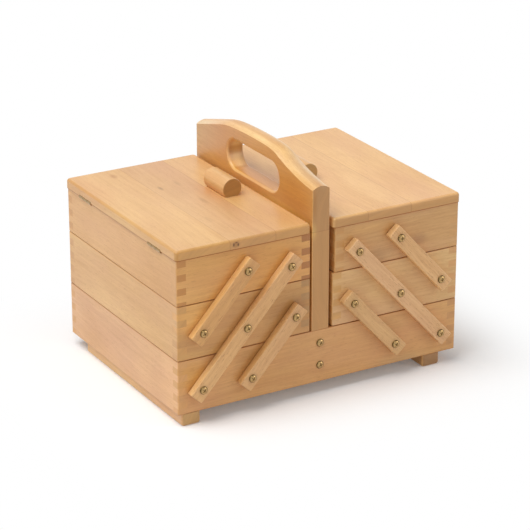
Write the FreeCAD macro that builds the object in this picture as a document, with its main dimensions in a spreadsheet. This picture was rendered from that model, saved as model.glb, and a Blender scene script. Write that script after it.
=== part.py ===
"""Wooden cantilever sewing box.

A finger-jointed base box stands on two runners and carries an upright handle board in its
middle.  On each side of the board two trays lie one above the other.  Wooden arms on the
front and the back join the base, the middle tray and the top tray as a parallelogram, so
the trays swing up and out together and stay level.  Each top tray has a hinged lid.

Frame: X along the width, Y from front to back, Z up.  The origin is on the ground, under
the middle of the box.  The front is toward -Y.  Lengths are in millimetres.
"""
import FreeCAD, Part
import math
import os
import re
import Sketcher

# Driving sizes, one cell each.  Angles are in degrees, everything else in millimetres.
SIZES = {
    # carcass: the base box and the trays
    "box_width": 315.0,
    "box_depth": 230.0,
    "wall_thickness": 10.0,
    "finger_height": 7.0,
    "base_height": 55.2,
    "middle_height": 55.5,
    "top_height": 46.0,
    "tier_gap": 0.3,
    "base_floor_thickness": 4.0,
    "tray_floor_thickness": 3.0,
    "right_top_tray_inset": 2.4,
    "floor_rebate": 5.0,
    "floor_fit": 0.2,
    "corner_round": 1.6,
    "edge_round": 0.8,
    # runners under the base
    "runner_height": 12.8,
    "runner_width": 20.0,
    "runner_length": 205.0,
    "runner_round": 2.5,
    "runner_end_round": 3.0,
    "left_runner_inset": 4.0,
    "right_runner_inset": 18.0,
    # handle board
    "board_thickness": 19.0,
    "board_shift": 1.0,
    "board_gap": 2.0,
    "board_end_height": 199.4,
    "board_dome": 3.6,
    "board_edge_round": 0.8,
    "crown_rise": 19.7,
    "crown_radius": 650.0,
    "crown_forward": 3.3,
    "front_crown_reach": 29.0,
    "front_shoulder_reach": 49.0,
    "front_shoulder_radius": 64.0,
    "back_crown_reach": 42.0,
    "back_shoulder_radius": 115.0,
    "slot_length": 101.0,
    "slot_height": 30.5,
    "slot_below_crown": 28.9,
    "slot_round": 3.0,
    # lids
    "lid_thickness": 9.8,
    "lid_gap": 0.3,
    "lid_overhang": 1.2,
    "lid_corner": 4.0,
    "lid_round": 3.0,
    # lid knobs, short dowels with a flat to stand on
    "knob_diameter": 21.0,
    "knob_flat": 2.5,
    "knob_length": 40.0,
    "knob_round": 1.0,
    "knob_back": 6.0,
    "left_knob_in": 28.5,
    "right_knob_in": 33.5,
    # arms
    "arm_width": 15.0,
    "arm_thickness": 8.0,
    "arm_end": 11.5,
    "arm_corner": 1.5,
    "arm_round": 1.0,
    "arm_play": 0.3,
    "arm_rise": 53.1,
    "base_pivot_height": 24.8,
    "long_foot_from_side": 22.9,
    "long_head_from_inner": 25.5,
    "lower_head_from_inner": 20.4,
    "upper_foot_from_side": 23.9,
    "upper_pivot_height": 27.5,
    # screws
    "head_diameter": 8.0,
    "head_height": 2.2,
    "head_rim": 0.4,
    "shank_diameter": 4.0,
    "turning_fit": 0.05,
    "screw_bite": 7.0,
    "board_screw_bite": 20.0,
    "hole_end_gap": 0.5,
    "low_board_screw": 17.9,
    "high_board_screw": 41.2,
    # lid hinges
    "hinge_length": 26.0,
    "hinge_from_end": 42.0,
    "leaf_thickness": 0.9,
    "leaf_reach": 8.0,
    "barrel_diameter": 3.2,
    "pin_diameter": 1.6,
    "hinge_axis_out": 0.2,
    "hinge_play": 0.3,
}

# Levels above the ground.
MIDDLE_BOTTOM = "(runner_height + base_height + tier_gap)"
TOP_BOTTOM = "(runner_height + base_height + middle_height + 2 * tier_gap)"
TOP_TOP = f"({TOP_BOTTOM} + top_height)"
LID_BOTTOM = f"({TOP_TOP} + lid_gap)"
HINGE_LEVEL = f"({TOP_TOP} + lid_gap / 2)"

# Distances out from the middle of the box.
TRAY_INNER = "(board_thickness / 2 + board_shift + board_gap)"
TRAY_OUTER = "(box_width / 2)"
HINGE_OUT = "(box_width / 2 + hinge_axis_out)"
FRONT = "(box_depth / 2)"

# Heights on the handle board, above the bottom of the base.
CROWN_HEIGHT = "(board_end_height + crown_rise)"
CROWN_CENTRE = f"({CROWN_HEIGHT} - crown_radius)"
SLOT_LEVEL = f"({CROWN_HEIGHT} - slot_below_crown)"

# The long arm runs from near the outer side of the base to near the inner side of the top
# tray.  Half of that way in, and half of that way up, is one pivot spacing of every arm.
LONG_OUT = "(box_width / 2 - long_foot_from_side)"
ARM_IN = f"(({LONG_OUT} - {TRAY_INNER} - long_head_from_inner) / 2)"
PIVOT_SPACING = f"sqrt({ARM_IN}^2 + arm_rise^2)"
ARM_ANGLE = f"atan(arm_rise / {ARM_IN})"
LOWER_OUT = f"({TRAY_INNER} + lower_head_from_inner + {ARM_IN})"
UPPER_OUT = "(box_width / 2 - upper_foot_from_side)"

# Pivots as (distance out, level above the bottom of the tier that holds the screw).
LONG_BASE = (LONG_OUT, "base_pivot_height")
LONG_MIDDLE = (
    f"({LONG_OUT} - {ARM_IN})",
    "(base_pivot_height + arm_rise - base_height - tier_gap)",
)
LONG_TOP = (
    f"({LONG_OUT} - 2 * {ARM_IN})",
    "(base_pivot_height + 2 * arm_rise - base_height - middle_height - 2 * tier_gap)",
)
LOWER_BASE = (LOWER_OUT, "base_pivot_height")
LOWER_MIDDLE = (f"({LOWER_OUT} - {ARM_IN})", LONG_MIDDLE[1])
UPPER_MIDDLE = (UPPER_OUT, "upper_pivot_height")
UPPER_TOP = (
    f"({UPPER_OUT} - {ARM_IN})",
    "(upper_pivot_height + arm_rise - middle_height - tier_gap)",
)

# Screw reach through an arm into a wall, and the holes the screws turn or sit in.
PIVOT_SHANK = "(arm_thickness + 2 * arm_play + screw_bite)"
BOARD_SHANK = "(wall_thickness + board_screw_bite)"
SCREW_HOLE = "(shank_diameter + 2 * turning_fit)"
PIVOT_HOLE_DEPTH = "(screw_bite + hole_end_gap)"
BOARD_HOLE_DEPTH = "(board_screw_bite + hole_end_gap)"
BOARD_SCREWS = ("low_board_screw", "high_board_screw")

RIGHT = 1
LEFT = -1

# Edges are picked by where they lie, to within this many millimetres.
NEAR = 0.01
# The least volume, in cubic millimetres, that every pocket takes away.
LEAST_CUT = 0.1

doc = FreeCAD.newDocument("SewingBox")
sheet = doc.addObject("Spreadsheet::Sheet", "Sizes")
for row, (alias, size) in enumerate(SIZES.items(), start=1):
    sheet.set(f"A{row}", alias)
    sheet.set(f"B{row}", str(size))
    sheet.setAlias(f"B{row}", alias)
doc.recompute()


# ---------------------------------------------------------------- sizes and places

def sized(expression):
    """The expression with every size name pointed at its cell in the sheet."""
    def cell(word):
        return "Sizes." + word.group() if word.group() in SIZES else word.group()
    return re.sub(r"[a-z][a-z_]*", cell, expression)


def value(expression):
    """What the expression comes to now."""
    return float(sheet.evalExpression(sized(expression)))


def bind(item, name, expression):
    """Tie a property to an expression of the named sizes."""
    item.setExpression(name, sized(expression))


def place(item, out, back, up, turn=0, axis=(0, 0, 1)):
    """Put a piece at (out, back, up), turned by a number of degrees or an expression."""
    degrees = value(turn) if isinstance(turn, str) else turn
    rotation = FreeCAD.Rotation(FreeCAD.Vector(*axis), degrees)
    item.Placement = FreeCAD.Placement(FreeCAD.Vector(), rotation)
    bind(item, "Placement.Base.x", out)
    bind(item, "Placement.Base.y", back)
    bind(item, "Placement.Base.z", up)
    if isinstance(turn, str):
        bind(item, "Placement.Rotation.Angle", turn)


def signed(sign, expression):
    """The expression, or its negative on the other side."""
    return expression if sign > 0 else f"-{expression}"


# ---------------------------------------------------------------- sketches and features

def new_body(label):
    body = doc.addObject("PartDesign::Body", label)
    body.Label = label
    return body


def origin_feature(body, role):
    """A datum plane or axis of the body's own origin."""
    return next(part for part in body.Origin.OriginFeatures if part.Role == role)


def new_sketch(body, role, name, offset=None):
    """A sketch on one of the body's origin planes, or at an offset along its normal."""
    sketch = body.newObject("Sketcher::SketchObject", f"{body.Name}_{name}")
    sketch.AttachmentSupport = [(origin_feature(body, role), "")]
    sketch.MapMode = "FlatFace"
    if offset:
        bind(sketch, "AttachmentOffset.Base.z", offset)
    return sketch


def fix_point(sketch, geometry, position, across, up):
    """Dimension a point of the sketch from its origin."""
    for kind, expression, axis in (("DistanceX", across, -2), ("DistanceY", up, -1)):
        if expression == "0":
            sketch.addConstraint(
                Sketcher.Constraint("PointOnObject", geometry, position, axis))
        else:
            index = sketch.addConstraint(Sketcher.Constraint(
                kind, -1, 1, geometry, position, value(expression)))
            bind(sketch, f"Constraints[{index}]", expression)


def add_outline(sketch, corners):
    """A closed outline of straight lines through the given corners."""
    points = [FreeCAD.Vector(value(across), value(up), 0) for across, up in corners]
    first = sketch.GeometryCount
    count = len(points)
    for index in range(count):
        line = Part.LineSegment(points[index], points[(index + 1) % count])
        sketch.addGeometry(line, False)
    for index in range(count):
        following = first + (index + 1) % count
        sketch.addConstraint(
            Sketcher.Constraint("Coincident", first + index, 2, following, 1))
        fix_point(sketch, first + index, 1, *corners[index])


def add_rectangle(sketch, left, low, right, high):
    add_outline(sketch, [(left, low), (right, low), (right, high), (left, high)])


def add_circle(sketch, across, up, diameter):
    centre = FreeCAD.Vector(value(across), value(up), 0)
    circle = Part.Circle(centre, FreeCAD.Vector(0, 0, 1), value(diameter) / 2)
    index = sketch.addGeometry(circle, False)
    fix_point(sketch, index, 3, across, up)
    constraint = sketch.addConstraint(
        Sketcher.Constraint("Diameter", index, value(diameter)))
    bind(sketch, f"Constraints[{constraint}]", diameter)


def add_arc(sketch, centre, radius, start, end):
    """A counter-clockwise arc; start and end are angles in radians."""
    circle = Part.Circle(centre, FreeCAD.Vector(0, 0, 1), radius)
    return sketch.addGeometry(Part.ArcOfCircle(circle, start, end), False)


def constrain(sketch, *terms, size=None):
    """Add one constraint, tied to a size where it has one."""
    if size is None:
        sketch.addConstraint(Sketcher.Constraint(*terms))
    else:
        index = sketch.addConstraint(Sketcher.Constraint(*terms, value(size)))
        bind(sketch, f"Constraints[{index}]", size)


def add_pad(body, sketch, length, name="pad", both_ways=False, backward=False):
    pad = body.newObject("PartDesign::Pad", f"{body.Name}_{name}")
    pad.Profile = sketch
    bind(pad, "Length", length)
    if both_ways:
        pad.SideType = "Symmetric"
    pad.Reversed = backward
    return pad


def add_pocket(body, sketch, name, depth=None, both_ways=False, backward=False):
    """A pocket of the given depth, or right through where no depth is given."""
    pocket = body.newObject("PartDesign::Pocket", f"{body.Name}_{name}")
    pocket.Profile = sketch
    if depth is None:
        pocket.Type = "ThroughAll"
    else:
        bind(pocket, "Length", depth)
    if both_ways:
        pocket.SideType = "Symmetric"
    pocket.Reversed = backward
    return pocket


def round_edges(body, base, radius, name, chosen):
    """Fillet those edges of the base feature for which chosen(edge) is true."""
    doc.recompute()
    edges = [f"Edge{index}" for index, edge in enumerate(base.Shape.Edges, start=1)
             if chosen(edge)]
    fillet = body.newObject("PartDesign::Fillet", f"{body.Name}_{name}")
    fillet.Base = (base, edges)
    bind(fillet, "Radius", radius)
    return fillet


def lies_at(edge, axis, level):
    """True where the whole edge lies in the plane axis = level."""
    box = edge.BoundBox
    low = {"x": box.XMin, "y": box.YMin, "z": box.ZMin}[axis]
    high = {"x": box.XMax, "y": box.YMax, "z": box.ZMax}[axis]
    return abs(low - level) < NEAR and abs(high - level) < NEAR


def is_upright(edge):
    box = edge.BoundBox
    return box.ZLength > NEAR and box.XLength < NEAR and box.YLength < NEAR


def group(label, master, places, axis=(0, 0, 1)):
    """Copies of one small piece, kept together as separate solids of one node."""
    copies = []
    for index, (out, back, up, turn) in enumerate(places, start=1):
        copy = doc.addObject("App::Link", f"{label}_{index}")
        copy.LinkedObject = master
        place(copy, out, back, up, turn, axis)
        copies.append(copy)
    compound = doc.addObject("Part::Compound", label)
    compound.Label = label
    compound.Links = copies
    return compound


# ---------------------------------------------------------------- carcass

def make_wall(label, length, height, first_notch, floor, spot, turn, holes=(), hinged=False):
    """A finger-jointed wall.

    Its own frame has X along the wall from its middle, Y from its outer face inward and Z
    up from its lower edge.  Notches as deep as the neighbour is thick start first_notch
    below the top and repeat every second finger.  holes lists (along, up, depth) of the
    screw holes from the outer face; a depth of None goes through.
    """
    body = new_body(label)
    half = f"({length} / 2)"
    face = new_sketch(body, "XZ_Plane", "face")
    add_rectangle(face, f"-{half}", "0", half, height)
    add_pad(body, face, "wall_thickness", backward=True)

    notches = new_sketch(body, "XZ_Plane", "notches")
    high = f"{height} - {first_notch}"
    low = f"{height} - {first_notch} - finger_height"
    for sign in (LEFT, RIGHT):
        add_rectangle(notches, signed(sign, half), low,
                      signed(sign, f"({half} - wall_thickness)"), high)
    notch = add_pocket(body, notches, "notch")
    pattern = body.newObject("PartDesign::LinearPattern", f"{body.Name}_fingers")
    pattern.Originals = [notch]
    pattern.Direction = (origin_feature(body, "Z_Axis"), [""])
    pattern.Reversed = True
    pattern.Mode = "Spacing"
    bind(pattern, "Offset", "2 * finger_height")
    bind(pattern, "Occurrences", f"ceil(({height} - {first_notch}) / (2 * finger_height))")
    body.Tip = pattern
    round_wall(body, pattern, half, height)

    rebate = new_sketch(body, "XY_Plane", "rebate")
    reach = f"({half} - wall_thickness + floor_rebate)"
    add_rectangle(rebate, f"-{reach}", "wall_thickness - floor_rebate",
                  reach, "wall_thickness")
    add_pocket(body, rebate, "floor_rebate", floor, backward=True)

    for depth in sorted({hole[2] for hole in holes}, key=str):
        bores = new_sketch(body, "XZ_Plane", "through" if depth is None else "blind")
        for along, up, _ in (hole for hole in holes if hole[2] == depth):
            add_circle(bores, along, up, SCREW_HOLE)
        add_pocket(body, bores, f"{bores.Name}_holes", depth)
    if hinged:
        cut_hinge_seats(body, height)
    place(body, *spot, turn)
    return body


def round_wall(body, blank, half, height):
    """Soften the wall's upright outer corners, then the outer rim of its top and bottom."""
    end = value(half)
    top = value(height)
    inner_face = value("wall_thickness")

    def at_corner(edge):
        at_end = lies_at(edge, "x", end) or lies_at(edge, "x", -end)
        return at_end and lies_at(edge, "y", 0) and is_upright(edge)

    def at_rim(edge):
        box = edge.BoundBox
        at_level = lies_at(edge, "z", 0) or lies_at(edge, "z", top)
        reaches_end = box.XMax > end - NEAR or box.XMin < NEAR - end
        inside = lies_at(edge, "y", inner_face)
        return at_level and not inside and (lies_at(edge, "y", 0) or reaches_end)

    corners = round_edges(body, blank, "corner_round", "corners", at_corner)
    round_edges(body, corners, "edge_round", "rim", at_rim)


def cut_hinge_seats(body, height):
    """Let the tray leaves of the lid hinges into the wall's top edge."""
    seats = new_sketch(body, "XY_Plane", "seats", offset=height)
    reliefs = new_sketch(body, "XY_Plane", "reliefs", offset=height)
    for sign in (LEFT, RIGHT):
        middle = signed(sign, f"({FRONT} - hinge_from_end)")
        start = f"{middle} - hinge_length / 2 - hinge_play"
        end = f"{middle} + hinge_length / 2 + hinge_play"
        add_rectangle(seats, start, "0", end, "leaf_reach - hinge_axis_out + hinge_play")
        add_rectangle(reliefs, start, "0", end,
                      "barrel_diameter / 2 - hinge_axis_out + hinge_play")
    add_pocket(body, seats, "leaf_seat", "leaf_thickness")
    add_pocket(body, reliefs, "barrel_relief", "barrel_diameter / 2 + hinge_play - lid_gap / 2")


def make_floor(label, width, thickness, spot):
    """A thin panel that lies in the rebates of four walls."""
    panel = doc.addObject("Part::Box", label)
    panel.Label = label
    bind(panel, "Length", f"{width} - 2 * wall_thickness + 2 * floor_rebate - 2 * floor_fit")
    bind(panel, "Width", "box_depth - 2 * wall_thickness + 2 * floor_rebate - 2 * floor_fit")
    bind(panel, "Height", thickness)
    out, up = spot
    inset = "wall_thickness - floor_rebate + floor_fit"
    place(panel, f"{out} + {inset}", f"-{FRONT} + {inset}", up)
    return panel


def make_base():
    """The base box: four finger-jointed walls and a floor."""
    arm_holes = [(signed(side, out), up, PIVOT_HOLE_DEPTH)
                 for out, up in (LONG_BASE, LOWER_BASE) for side in (LEFT, RIGHT)]
    front_holes = arm_holes + [("-board_shift", up, None) for up in BOARD_SCREWS]
    back_holes = arm_holes + [("board_shift", up, None) for up in BOARD_SCREWS]
    bottom = "runner_height"
    floor = "base_floor_thickness"
    outer = TRAY_OUTER
    ends = (
        ("base_front_wall", "box_width", "0", ("0", f"-{FRONT}", bottom), 0, front_holes),
        ("base_back_wall", "box_width", "0", ("0", FRONT, bottom), 180, back_holes),
        ("base_left_wall", "box_depth", "finger_height", (f"-{outer}", "0", bottom), 270, ()),
        ("base_right_wall", "box_depth", "finger_height", (outer, "0", bottom), 90, ()),
    )
    walls = [make_wall(label, length, "base_height", first, floor, spot, turn, holes)
             for label, length, first, spot, turn, holes in ends]
    return walls + [make_floor("base_floor", "box_width", floor, (f"-{outer}", bottom))]


def make_tray(name, side, height, bottom, inner, pivots, hinged):
    """One tray of one half: four finger-jointed walls and a floor."""
    floor = "tray_floor_thickness"
    width = f"({TRAY_OUTER} - {inner})"
    centre = f"(({TRAY_OUTER} + {inner}) / 2)"
    parts = []
    for end, back, turn in (("front", f"-{FRONT}", 0), ("back", FRONT, 180)):
        sign = side if end == "front" else -side
        holes = [(signed(sign, f"({out} - {centre})"), up, PIVOT_HOLE_DEPTH)
                 for out, up in pivots]
        spot = (signed(side, centre), back, bottom)
        parts.append(make_wall(f"{name}_{end}_wall", width, height, "0", floor,
                               spot, turn, holes))
    for edge, out, facing in (("outer", TRAY_OUTER, RIGHT), ("inner", inner, LEFT)):
        turn = 90 if facing * side > 0 else 270
        parts.append(make_wall(f"{name}_{edge}_wall", "box_depth", height, "finger_height",
                               floor, (signed(side, out), "0", bottom), turn,
                               hinged=hinged and edge == "outer"))
    low_corner = inner if side == RIGHT else f"-{TRAY_OUTER}"
    parts.append(make_floor(f"{name}_floor", width, floor, (low_corner, bottom)))
    return parts


def make_runner(label, out):
    """A wooden runner, flush with the front and rounded at its ends and along the ground."""
    body = new_body(label)
    section = new_sketch(body, "XZ_Plane", "section")
    add_rectangle(section, "-runner_width / 2", "0", "runner_width / 2", "runner_height")
    bar = add_pad(body, section, "runner_length", backward=True)
    ends = round_edges(body, bar, "runner_end_round", "ends", is_upright)
    round_edges(body, ends, "runner_round", "foot", lambda edge: lies_at(edge, "z", 0))
    place(body, out, f"-{FRONT}", "0")
    return body


# ---------------------------------------------------------------- handle board

def make_handle_board():
    """The upright middle board with its arched top, finger slot and domed top edge."""
    body = new_body("handle_board")
    shape = new_sketch(body, "YZ_Plane", "shape")
    end = FRONT
    inner = f"({FRONT} - wall_thickness)"
    top = add_board_top(shape)

    corners = [
        (f"-{end}", "board_end_height"),
        (f"-{end}", "base_height"),
        (f"-{inner}", "base_height"),
        (f"-{inner}", "base_floor_thickness"),
        (inner, "base_floor_thickness"),
        (inner, "base_height"),
        (end, "base_height"),
        (end, "board_end_height"),
    ]
    first = shape.GeometryCount
    points = [FreeCAD.Vector(value(along), value(up), 0) for along, up in corners]
    for start, stop in zip(points, points[1:]):
        shape.addGeometry(Part.LineSegment(start, stop), False)
    last = shape.GeometryCount - 1
    for index in range(first, last):
        constrain(shape, "Coincident", index, 2, index + 1, 1)
    for index, corner in enumerate(corners[:-1]):
        fix_point(shape, first + index, 1, *corner)
    fix_point(shape, last, 2, *corners[-1])
    constrain(shape, "Coincident", top["front_flank"], 1, first, 1)
    constrain(shape, "Coincident", top["back_flank"], 2, last, 2)
    add_pad(body, shape, "board_thickness", both_ways=True)

    dome = add_top_dome(body)
    front = value(FRONT)
    round_edges(body, dome, "board_edge_round", "end_edges",
                lambda edge: is_upright(edge)
                and (lies_at(edge, "y", front) or lies_at(edge, "y", -front)))
    slot = cut_slot(body)
    half = value("board_thickness / 2")
    slot_top = value(f"{SLOT_LEVEL} + slot_height / 2") + NEAR
    slot_low = value(f"{SLOT_LEVEL} - slot_height / 2") - NEAR
    slot_end = value("slot_length / 2") + NEAR

    def on_rim(edge):
        box = edge.BoundBox
        inside = box.ZMin > slot_low and box.ZMax < slot_top and box.YMax < slot_end
        return inside and (lies_at(edge, "x", half) or lies_at(edge, "x", -half))

    round_edges(body, slot, "slot_round", "slot_rim", on_rim)

    for sign, name in ((LEFT, "front"), (RIGHT, "back")):
        bores = new_sketch(body, "XZ_Plane", f"{name}_bores", offset=signed(-sign, inner))
        for up in BOARD_SCREWS:
            add_circle(bores, "0", up, SCREW_HOLE)
        add_pocket(body, bores, f"{name}_holes", BOARD_HOLE_DEPTH, backward=sign == RIGHT)
    place(body, "-board_shift", "0", "runner_height")
    return body


def add_board_top(sketch):
    """The board's upper edge, from the front end to the back one.

    A hollow flank, a front shoulder, the wide crown and a back shoulder are arcs that
    meet smoothly; the back flank is a straight line that leaves the last one.
    """
    upright = math.pi / 2
    crown_radius = value("crown_radius")
    centre = FreeCAD.Vector(value("-crown_forward"), value(CROWN_CENTRE), 0)
    front_slope = math.asin((value("front_crown_reach") + centre.x) / crown_radius)
    back_slope = math.asin((value("back_crown_reach") - centre.x) / crown_radius)
    top = {}
    top["crown"] = add_arc(sketch, centre, crown_radius,
                           upright - back_slope, upright + front_slope)

    radius = value("front_shoulder_radius")
    front = centre + (crown_radius - radius) * direction(upright + front_slope)
    steep = math.asin((value("front_shoulder_reach") + front.x) / radius)
    top["front_shoulder"] = add_arc(sketch, front, radius,
                                    upright + front_slope, upright + steep)
    joint = front + radius * direction(upright + steep)
    end = FreeCAD.Vector(-value(FRONT), value("board_end_height"), 0)
    chord = end - joint
    across = direction(upright + steep)
    radius = chord.dot(chord) / (2 * chord.dot(across))
    flank = joint + radius * across
    down = 3 * upright
    top["front_flank"] = add_arc(sketch, flank, radius,
                                 down + math.asin((end.x - flank.x) / radius), down + steep)

    radius = value("back_shoulder_radius")
    back = centre + (crown_radius - radius) * direction(upright - back_slope)
    end = FreeCAD.Vector(value(FRONT), value("board_end_height"), 0)
    reach = end - back
    leave = math.atan2(reach.y, reach.x) + math.acos(radius / reach.Length)
    top["back_shoulder"] = add_arc(sketch, back, radius, leave, upright - back_slope)
    top["back_flank"] = sketch.addGeometry(
        Part.LineSegment(back + radius * direction(leave), end), False)
    fix_board_top(sketch, top)
    return top


def direction(angle):
    """The unit vector at an angle in radians from the sketch's first axis."""
    return FreeCAD.Vector(math.cos(angle), math.sin(angle), 0)


def fix_board_top(sketch, top):
    """Smooth joints between the pieces of the board's upper edge, and their sizes."""
    crown = top["crown"]
    constrain(sketch, "DistanceX", -1, 1, crown, 3, size="-crown_forward")
    constrain(sketch, "DistanceY", -1, 1, crown, 3, size=CROWN_CENTRE)
    constrain(sketch, "Radius", crown, size="crown_radius")
    constrain(sketch, "DistanceX", -1, 1, crown, 1, size="back_crown_reach")
    constrain(sketch, "DistanceX", -1, 1, crown, 2, size="-front_crown_reach")
    front = top["front_shoulder"]
    constrain(sketch, "Tangent", front, 1, crown, 2)
    constrain(sketch, "Radius", front, size="front_shoulder_radius")
    constrain(sketch, "DistanceX", -1, 1, front, 2, size="-front_shoulder_reach")
    constrain(sketch, "Tangent", top["front_flank"], 2, front, 2)
    back = top["back_shoulder"]
    constrain(sketch, "Tangent", back, 2, crown, 1)
    constrain(sketch, "Radius", back, size="back_shoulder_radius")
    constrain(sketch, "Tangent", top["back_flank"], 1, back, 1)


def add_top_dome(body):
    """The rounded top: a shallow bow across the board, swept along its upper edge."""
    path = new_sketch(body, "YZ_Plane", "top_path")
    top = add_board_top(path)
    fix_point(path, top["front_flank"], 1, f"-{FRONT}", "board_end_height")
    fix_point(path, top["back_flank"], 2, FRONT, "board_end_height")

    bow = new_sketch(body, "XZ_Plane", "bow", offset=FRONT)
    half = value("board_thickness / 2")
    rise = value("board_dome")
    level = value("board_end_height")
    radius = (half ** 2 + rise ** 2) / (2 * rise)
    spread = math.asin(half / radius)
    arc = add_arc(bow, FreeCAD.Vector(0, level + rise - radius, 0), radius,
                  math.pi / 2 - spread, math.pi / 2 + spread)
    chord = bow.addGeometry(Part.LineSegment(FreeCAD.Vector(-half, level, 0),
                                             FreeCAD.Vector(half, level, 0)), False)
    constrain(bow, "Coincident", arc, 2, chord, 1)
    constrain(bow, "Coincident", arc, 1, chord, 2)
    fix_point(bow, chord, 1, "-board_thickness / 2", "board_end_height")
    fix_point(bow, chord, 2, "board_thickness / 2", "board_end_height")
    constrain(bow, "Radius", arc,
              size="((board_thickness / 2)^2 + board_dome^2) / (2 * board_dome)")
    dome = body.newObject("PartDesign::AdditivePipe", f"{body.Name}_dome")
    dome.Profile = bow
    dome.Spine = (path, [])
    dome.Mode = "Fixed"
    return dome


def cut_slot(body):
    """The finger slot: two half rounds joined by straight lines, cut right through."""
    slot = new_sketch(body, "YZ_Plane", "slot")
    radius = value("slot_height / 2")
    reach = value("slot_length / 2") - radius
    level = value(SLOT_LEVEL)
    upright = math.pi / 2
    right = add_arc(slot, FreeCAD.Vector(reach, level, 0), radius, -upright, upright)
    left = add_arc(slot, FreeCAD.Vector(-reach, level, 0), radius, upright, 3 * upright)
    top = slot.addGeometry(Part.LineSegment(FreeCAD.Vector(reach, level + radius, 0),
                                            FreeCAD.Vector(-reach, level + radius, 0)), False)
    low = slot.addGeometry(Part.LineSegment(FreeCAD.Vector(-reach, level - radius, 0),
                                            FreeCAD.Vector(reach, level - radius, 0)), False)
    constrain(slot, "Tangent", right, 2, top, 1)
    constrain(slot, "Tangent", left, 1, top, 2)
    constrain(slot, "Tangent", left, 2, low, 1)
    constrain(slot, "Tangent", right, 1, low, 2)
    fix_point(slot, right, 3, "(slot_length - slot_height) / 2", SLOT_LEVEL)
    fix_point(slot, left, 3, "-(slot_length - slot_height) / 2", SLOT_LEVEL)
    constrain(slot, "Radius", right, size="slot_height / 2")
    return add_pocket(body, slot, "finger_slot", both_ways=True)


# ---------------------------------------------------------------- lids

def make_lid(name, side):
    """A flat lid with rounded upper edges, drawn on the right and turned over to the left."""
    body = new_body(f"{name}_lid")
    outline = new_sketch(body, "XY_Plane", "outline")
    outer = f"({TRAY_OUTER} + lid_overhang)"
    long_edge = f"({FRONT} + lid_overhang)"
    add_rectangle(outline, TRAY_INNER, f"-{long_edge}", outer, long_edge)
    slab = add_pad(body, outline, "lid_thickness")
    corners = round_edges(body, slab, "lid_corner", "corners", is_upright)
    top = value("lid_thickness")
    round_edges(body, corners, "lid_round", "top_edge", lambda edge: lies_at(edge, "z", top))

    seats = new_sketch(body, "XY_Plane", "seats")
    reliefs = new_sketch(body, "XY_Plane", "reliefs")
    for sign in (LEFT, RIGHT):
        middle = signed(sign, f"({FRONT} - hinge_from_end)")
        start = f"{middle} - hinge_length / 2 - hinge_play"
        end = f"{middle} + hinge_length / 2 + hinge_play"
        add_rectangle(seats, f"{HINGE_OUT} - leaf_reach - hinge_play", start, HINGE_OUT, end)
        add_rectangle(reliefs, f"{HINGE_OUT} - barrel_diameter / 2 - hinge_play", start,
                      outer, end)
    add_pocket(body, seats, "leaf_seat", "leaf_thickness", backward=True)
    add_pocket(body, reliefs, "barrel_relief", "barrel_diameter / 2 + hinge_play - lid_gap / 2",
               backward=True)
    place(body, "0", "0", LID_BOTTOM, 0 if side == RIGHT else 180)
    return body


def make_knob(label, out):
    """A short dowel lying front to back, with a flat to stand on."""
    body = new_body(label)
    section = new_sketch(body, "XZ_Plane", "section")
    radius = value("knob_diameter / 2")
    level = value("knob_diameter / 2 - knob_flat")
    half = math.sqrt(radius ** 2 - level ** 2)
    dip = math.asin(level / radius)
    arc = add_arc(section, FreeCAD.Vector(0, level, 0), radius, -dip, math.pi + dip)
    flat = section.addGeometry(Part.LineSegment(FreeCAD.Vector(-half, 0, 0),
                                                FreeCAD.Vector(half, 0, 0)), False)
    constrain(section, "Coincident", arc, 2, flat, 1)
    constrain(section, "Coincident", arc, 1, flat, 2)
    constrain(section, "PointOnObject", flat, 1, -1)
    constrain(section, "PointOnObject", flat, 2, -1)
    constrain(section, "PointOnObject", arc, 3, -2)
    constrain(section, "DistanceY", -1, 1, arc, 3, size="knob_diameter / 2 - knob_flat")
    constrain(section, "Diameter", arc, size="knob_diameter")
    dowel = add_pad(body, section, "knob_length", both_ways=True)
    end = value("knob_length / 2")
    round_edges(body, dowel, "knob_round", "ends",
                lambda edge: (lies_at(edge, "y", end) or lies_at(edge, "y", -end))
                and edge.BoundBox.ZLength > NEAR)
    place(body, out, "knob_back", f"{LID_BOTTOM} + lid_thickness")
    return body


# ---------------------------------------------------------------- arms and screws

def make_arm(label, side, end, holes, pivot, bottom):
    """A flat arm with its first screw hole at the pivot and one more every spacing."""
    body = new_body(label)
    shape = new_sketch(body, "XZ_Plane", "shape")
    add_rectangle(shape, "-arm_end", "-arm_width / 2",
                  f"{holes - 1} * {PIVOT_SPACING} + arm_end", "arm_width / 2")
    for index in range(holes):
        along = f"{index} * {PIVOT_SPACING}" if index else "0"
        add_circle(shape, along, "0", SCREW_HOLE)
    bar = add_pad(body, shape, "arm_thickness", both_ways=True)
    half = value("arm_thickness / 2")
    width = value("arm_width / 2")
    corners = round_edges(body, bar, "arm_corner", "corners",
                          lambda edge: edge.BoundBox.YLength > NEAR
                          and (lies_at(edge, "z", width) or lies_at(edge, "z", -width)))
    hole = value(SCREW_HOLE) / 2 + NEAR
    round_edges(body, corners, "arm_round", "edges",
                lambda edge: (lies_at(edge, "y", half) or lies_at(edge, "y", -half))
                and (edge.BoundBox.ZMax > hole or edge.BoundBox.ZMin < -hole))
    out, up = pivot
    lean = ARM_ANGLE if side == LEFT else f"(180 deg - {ARM_ANGLE})"
    back = signed(-1 if end == "front" else 1, f"({FRONT} + arm_play + arm_thickness / 2)")
    place(body, signed(side, out), back, f"{bottom} + {up}", lean, axis=(0, -1, 0))
    return body


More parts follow.
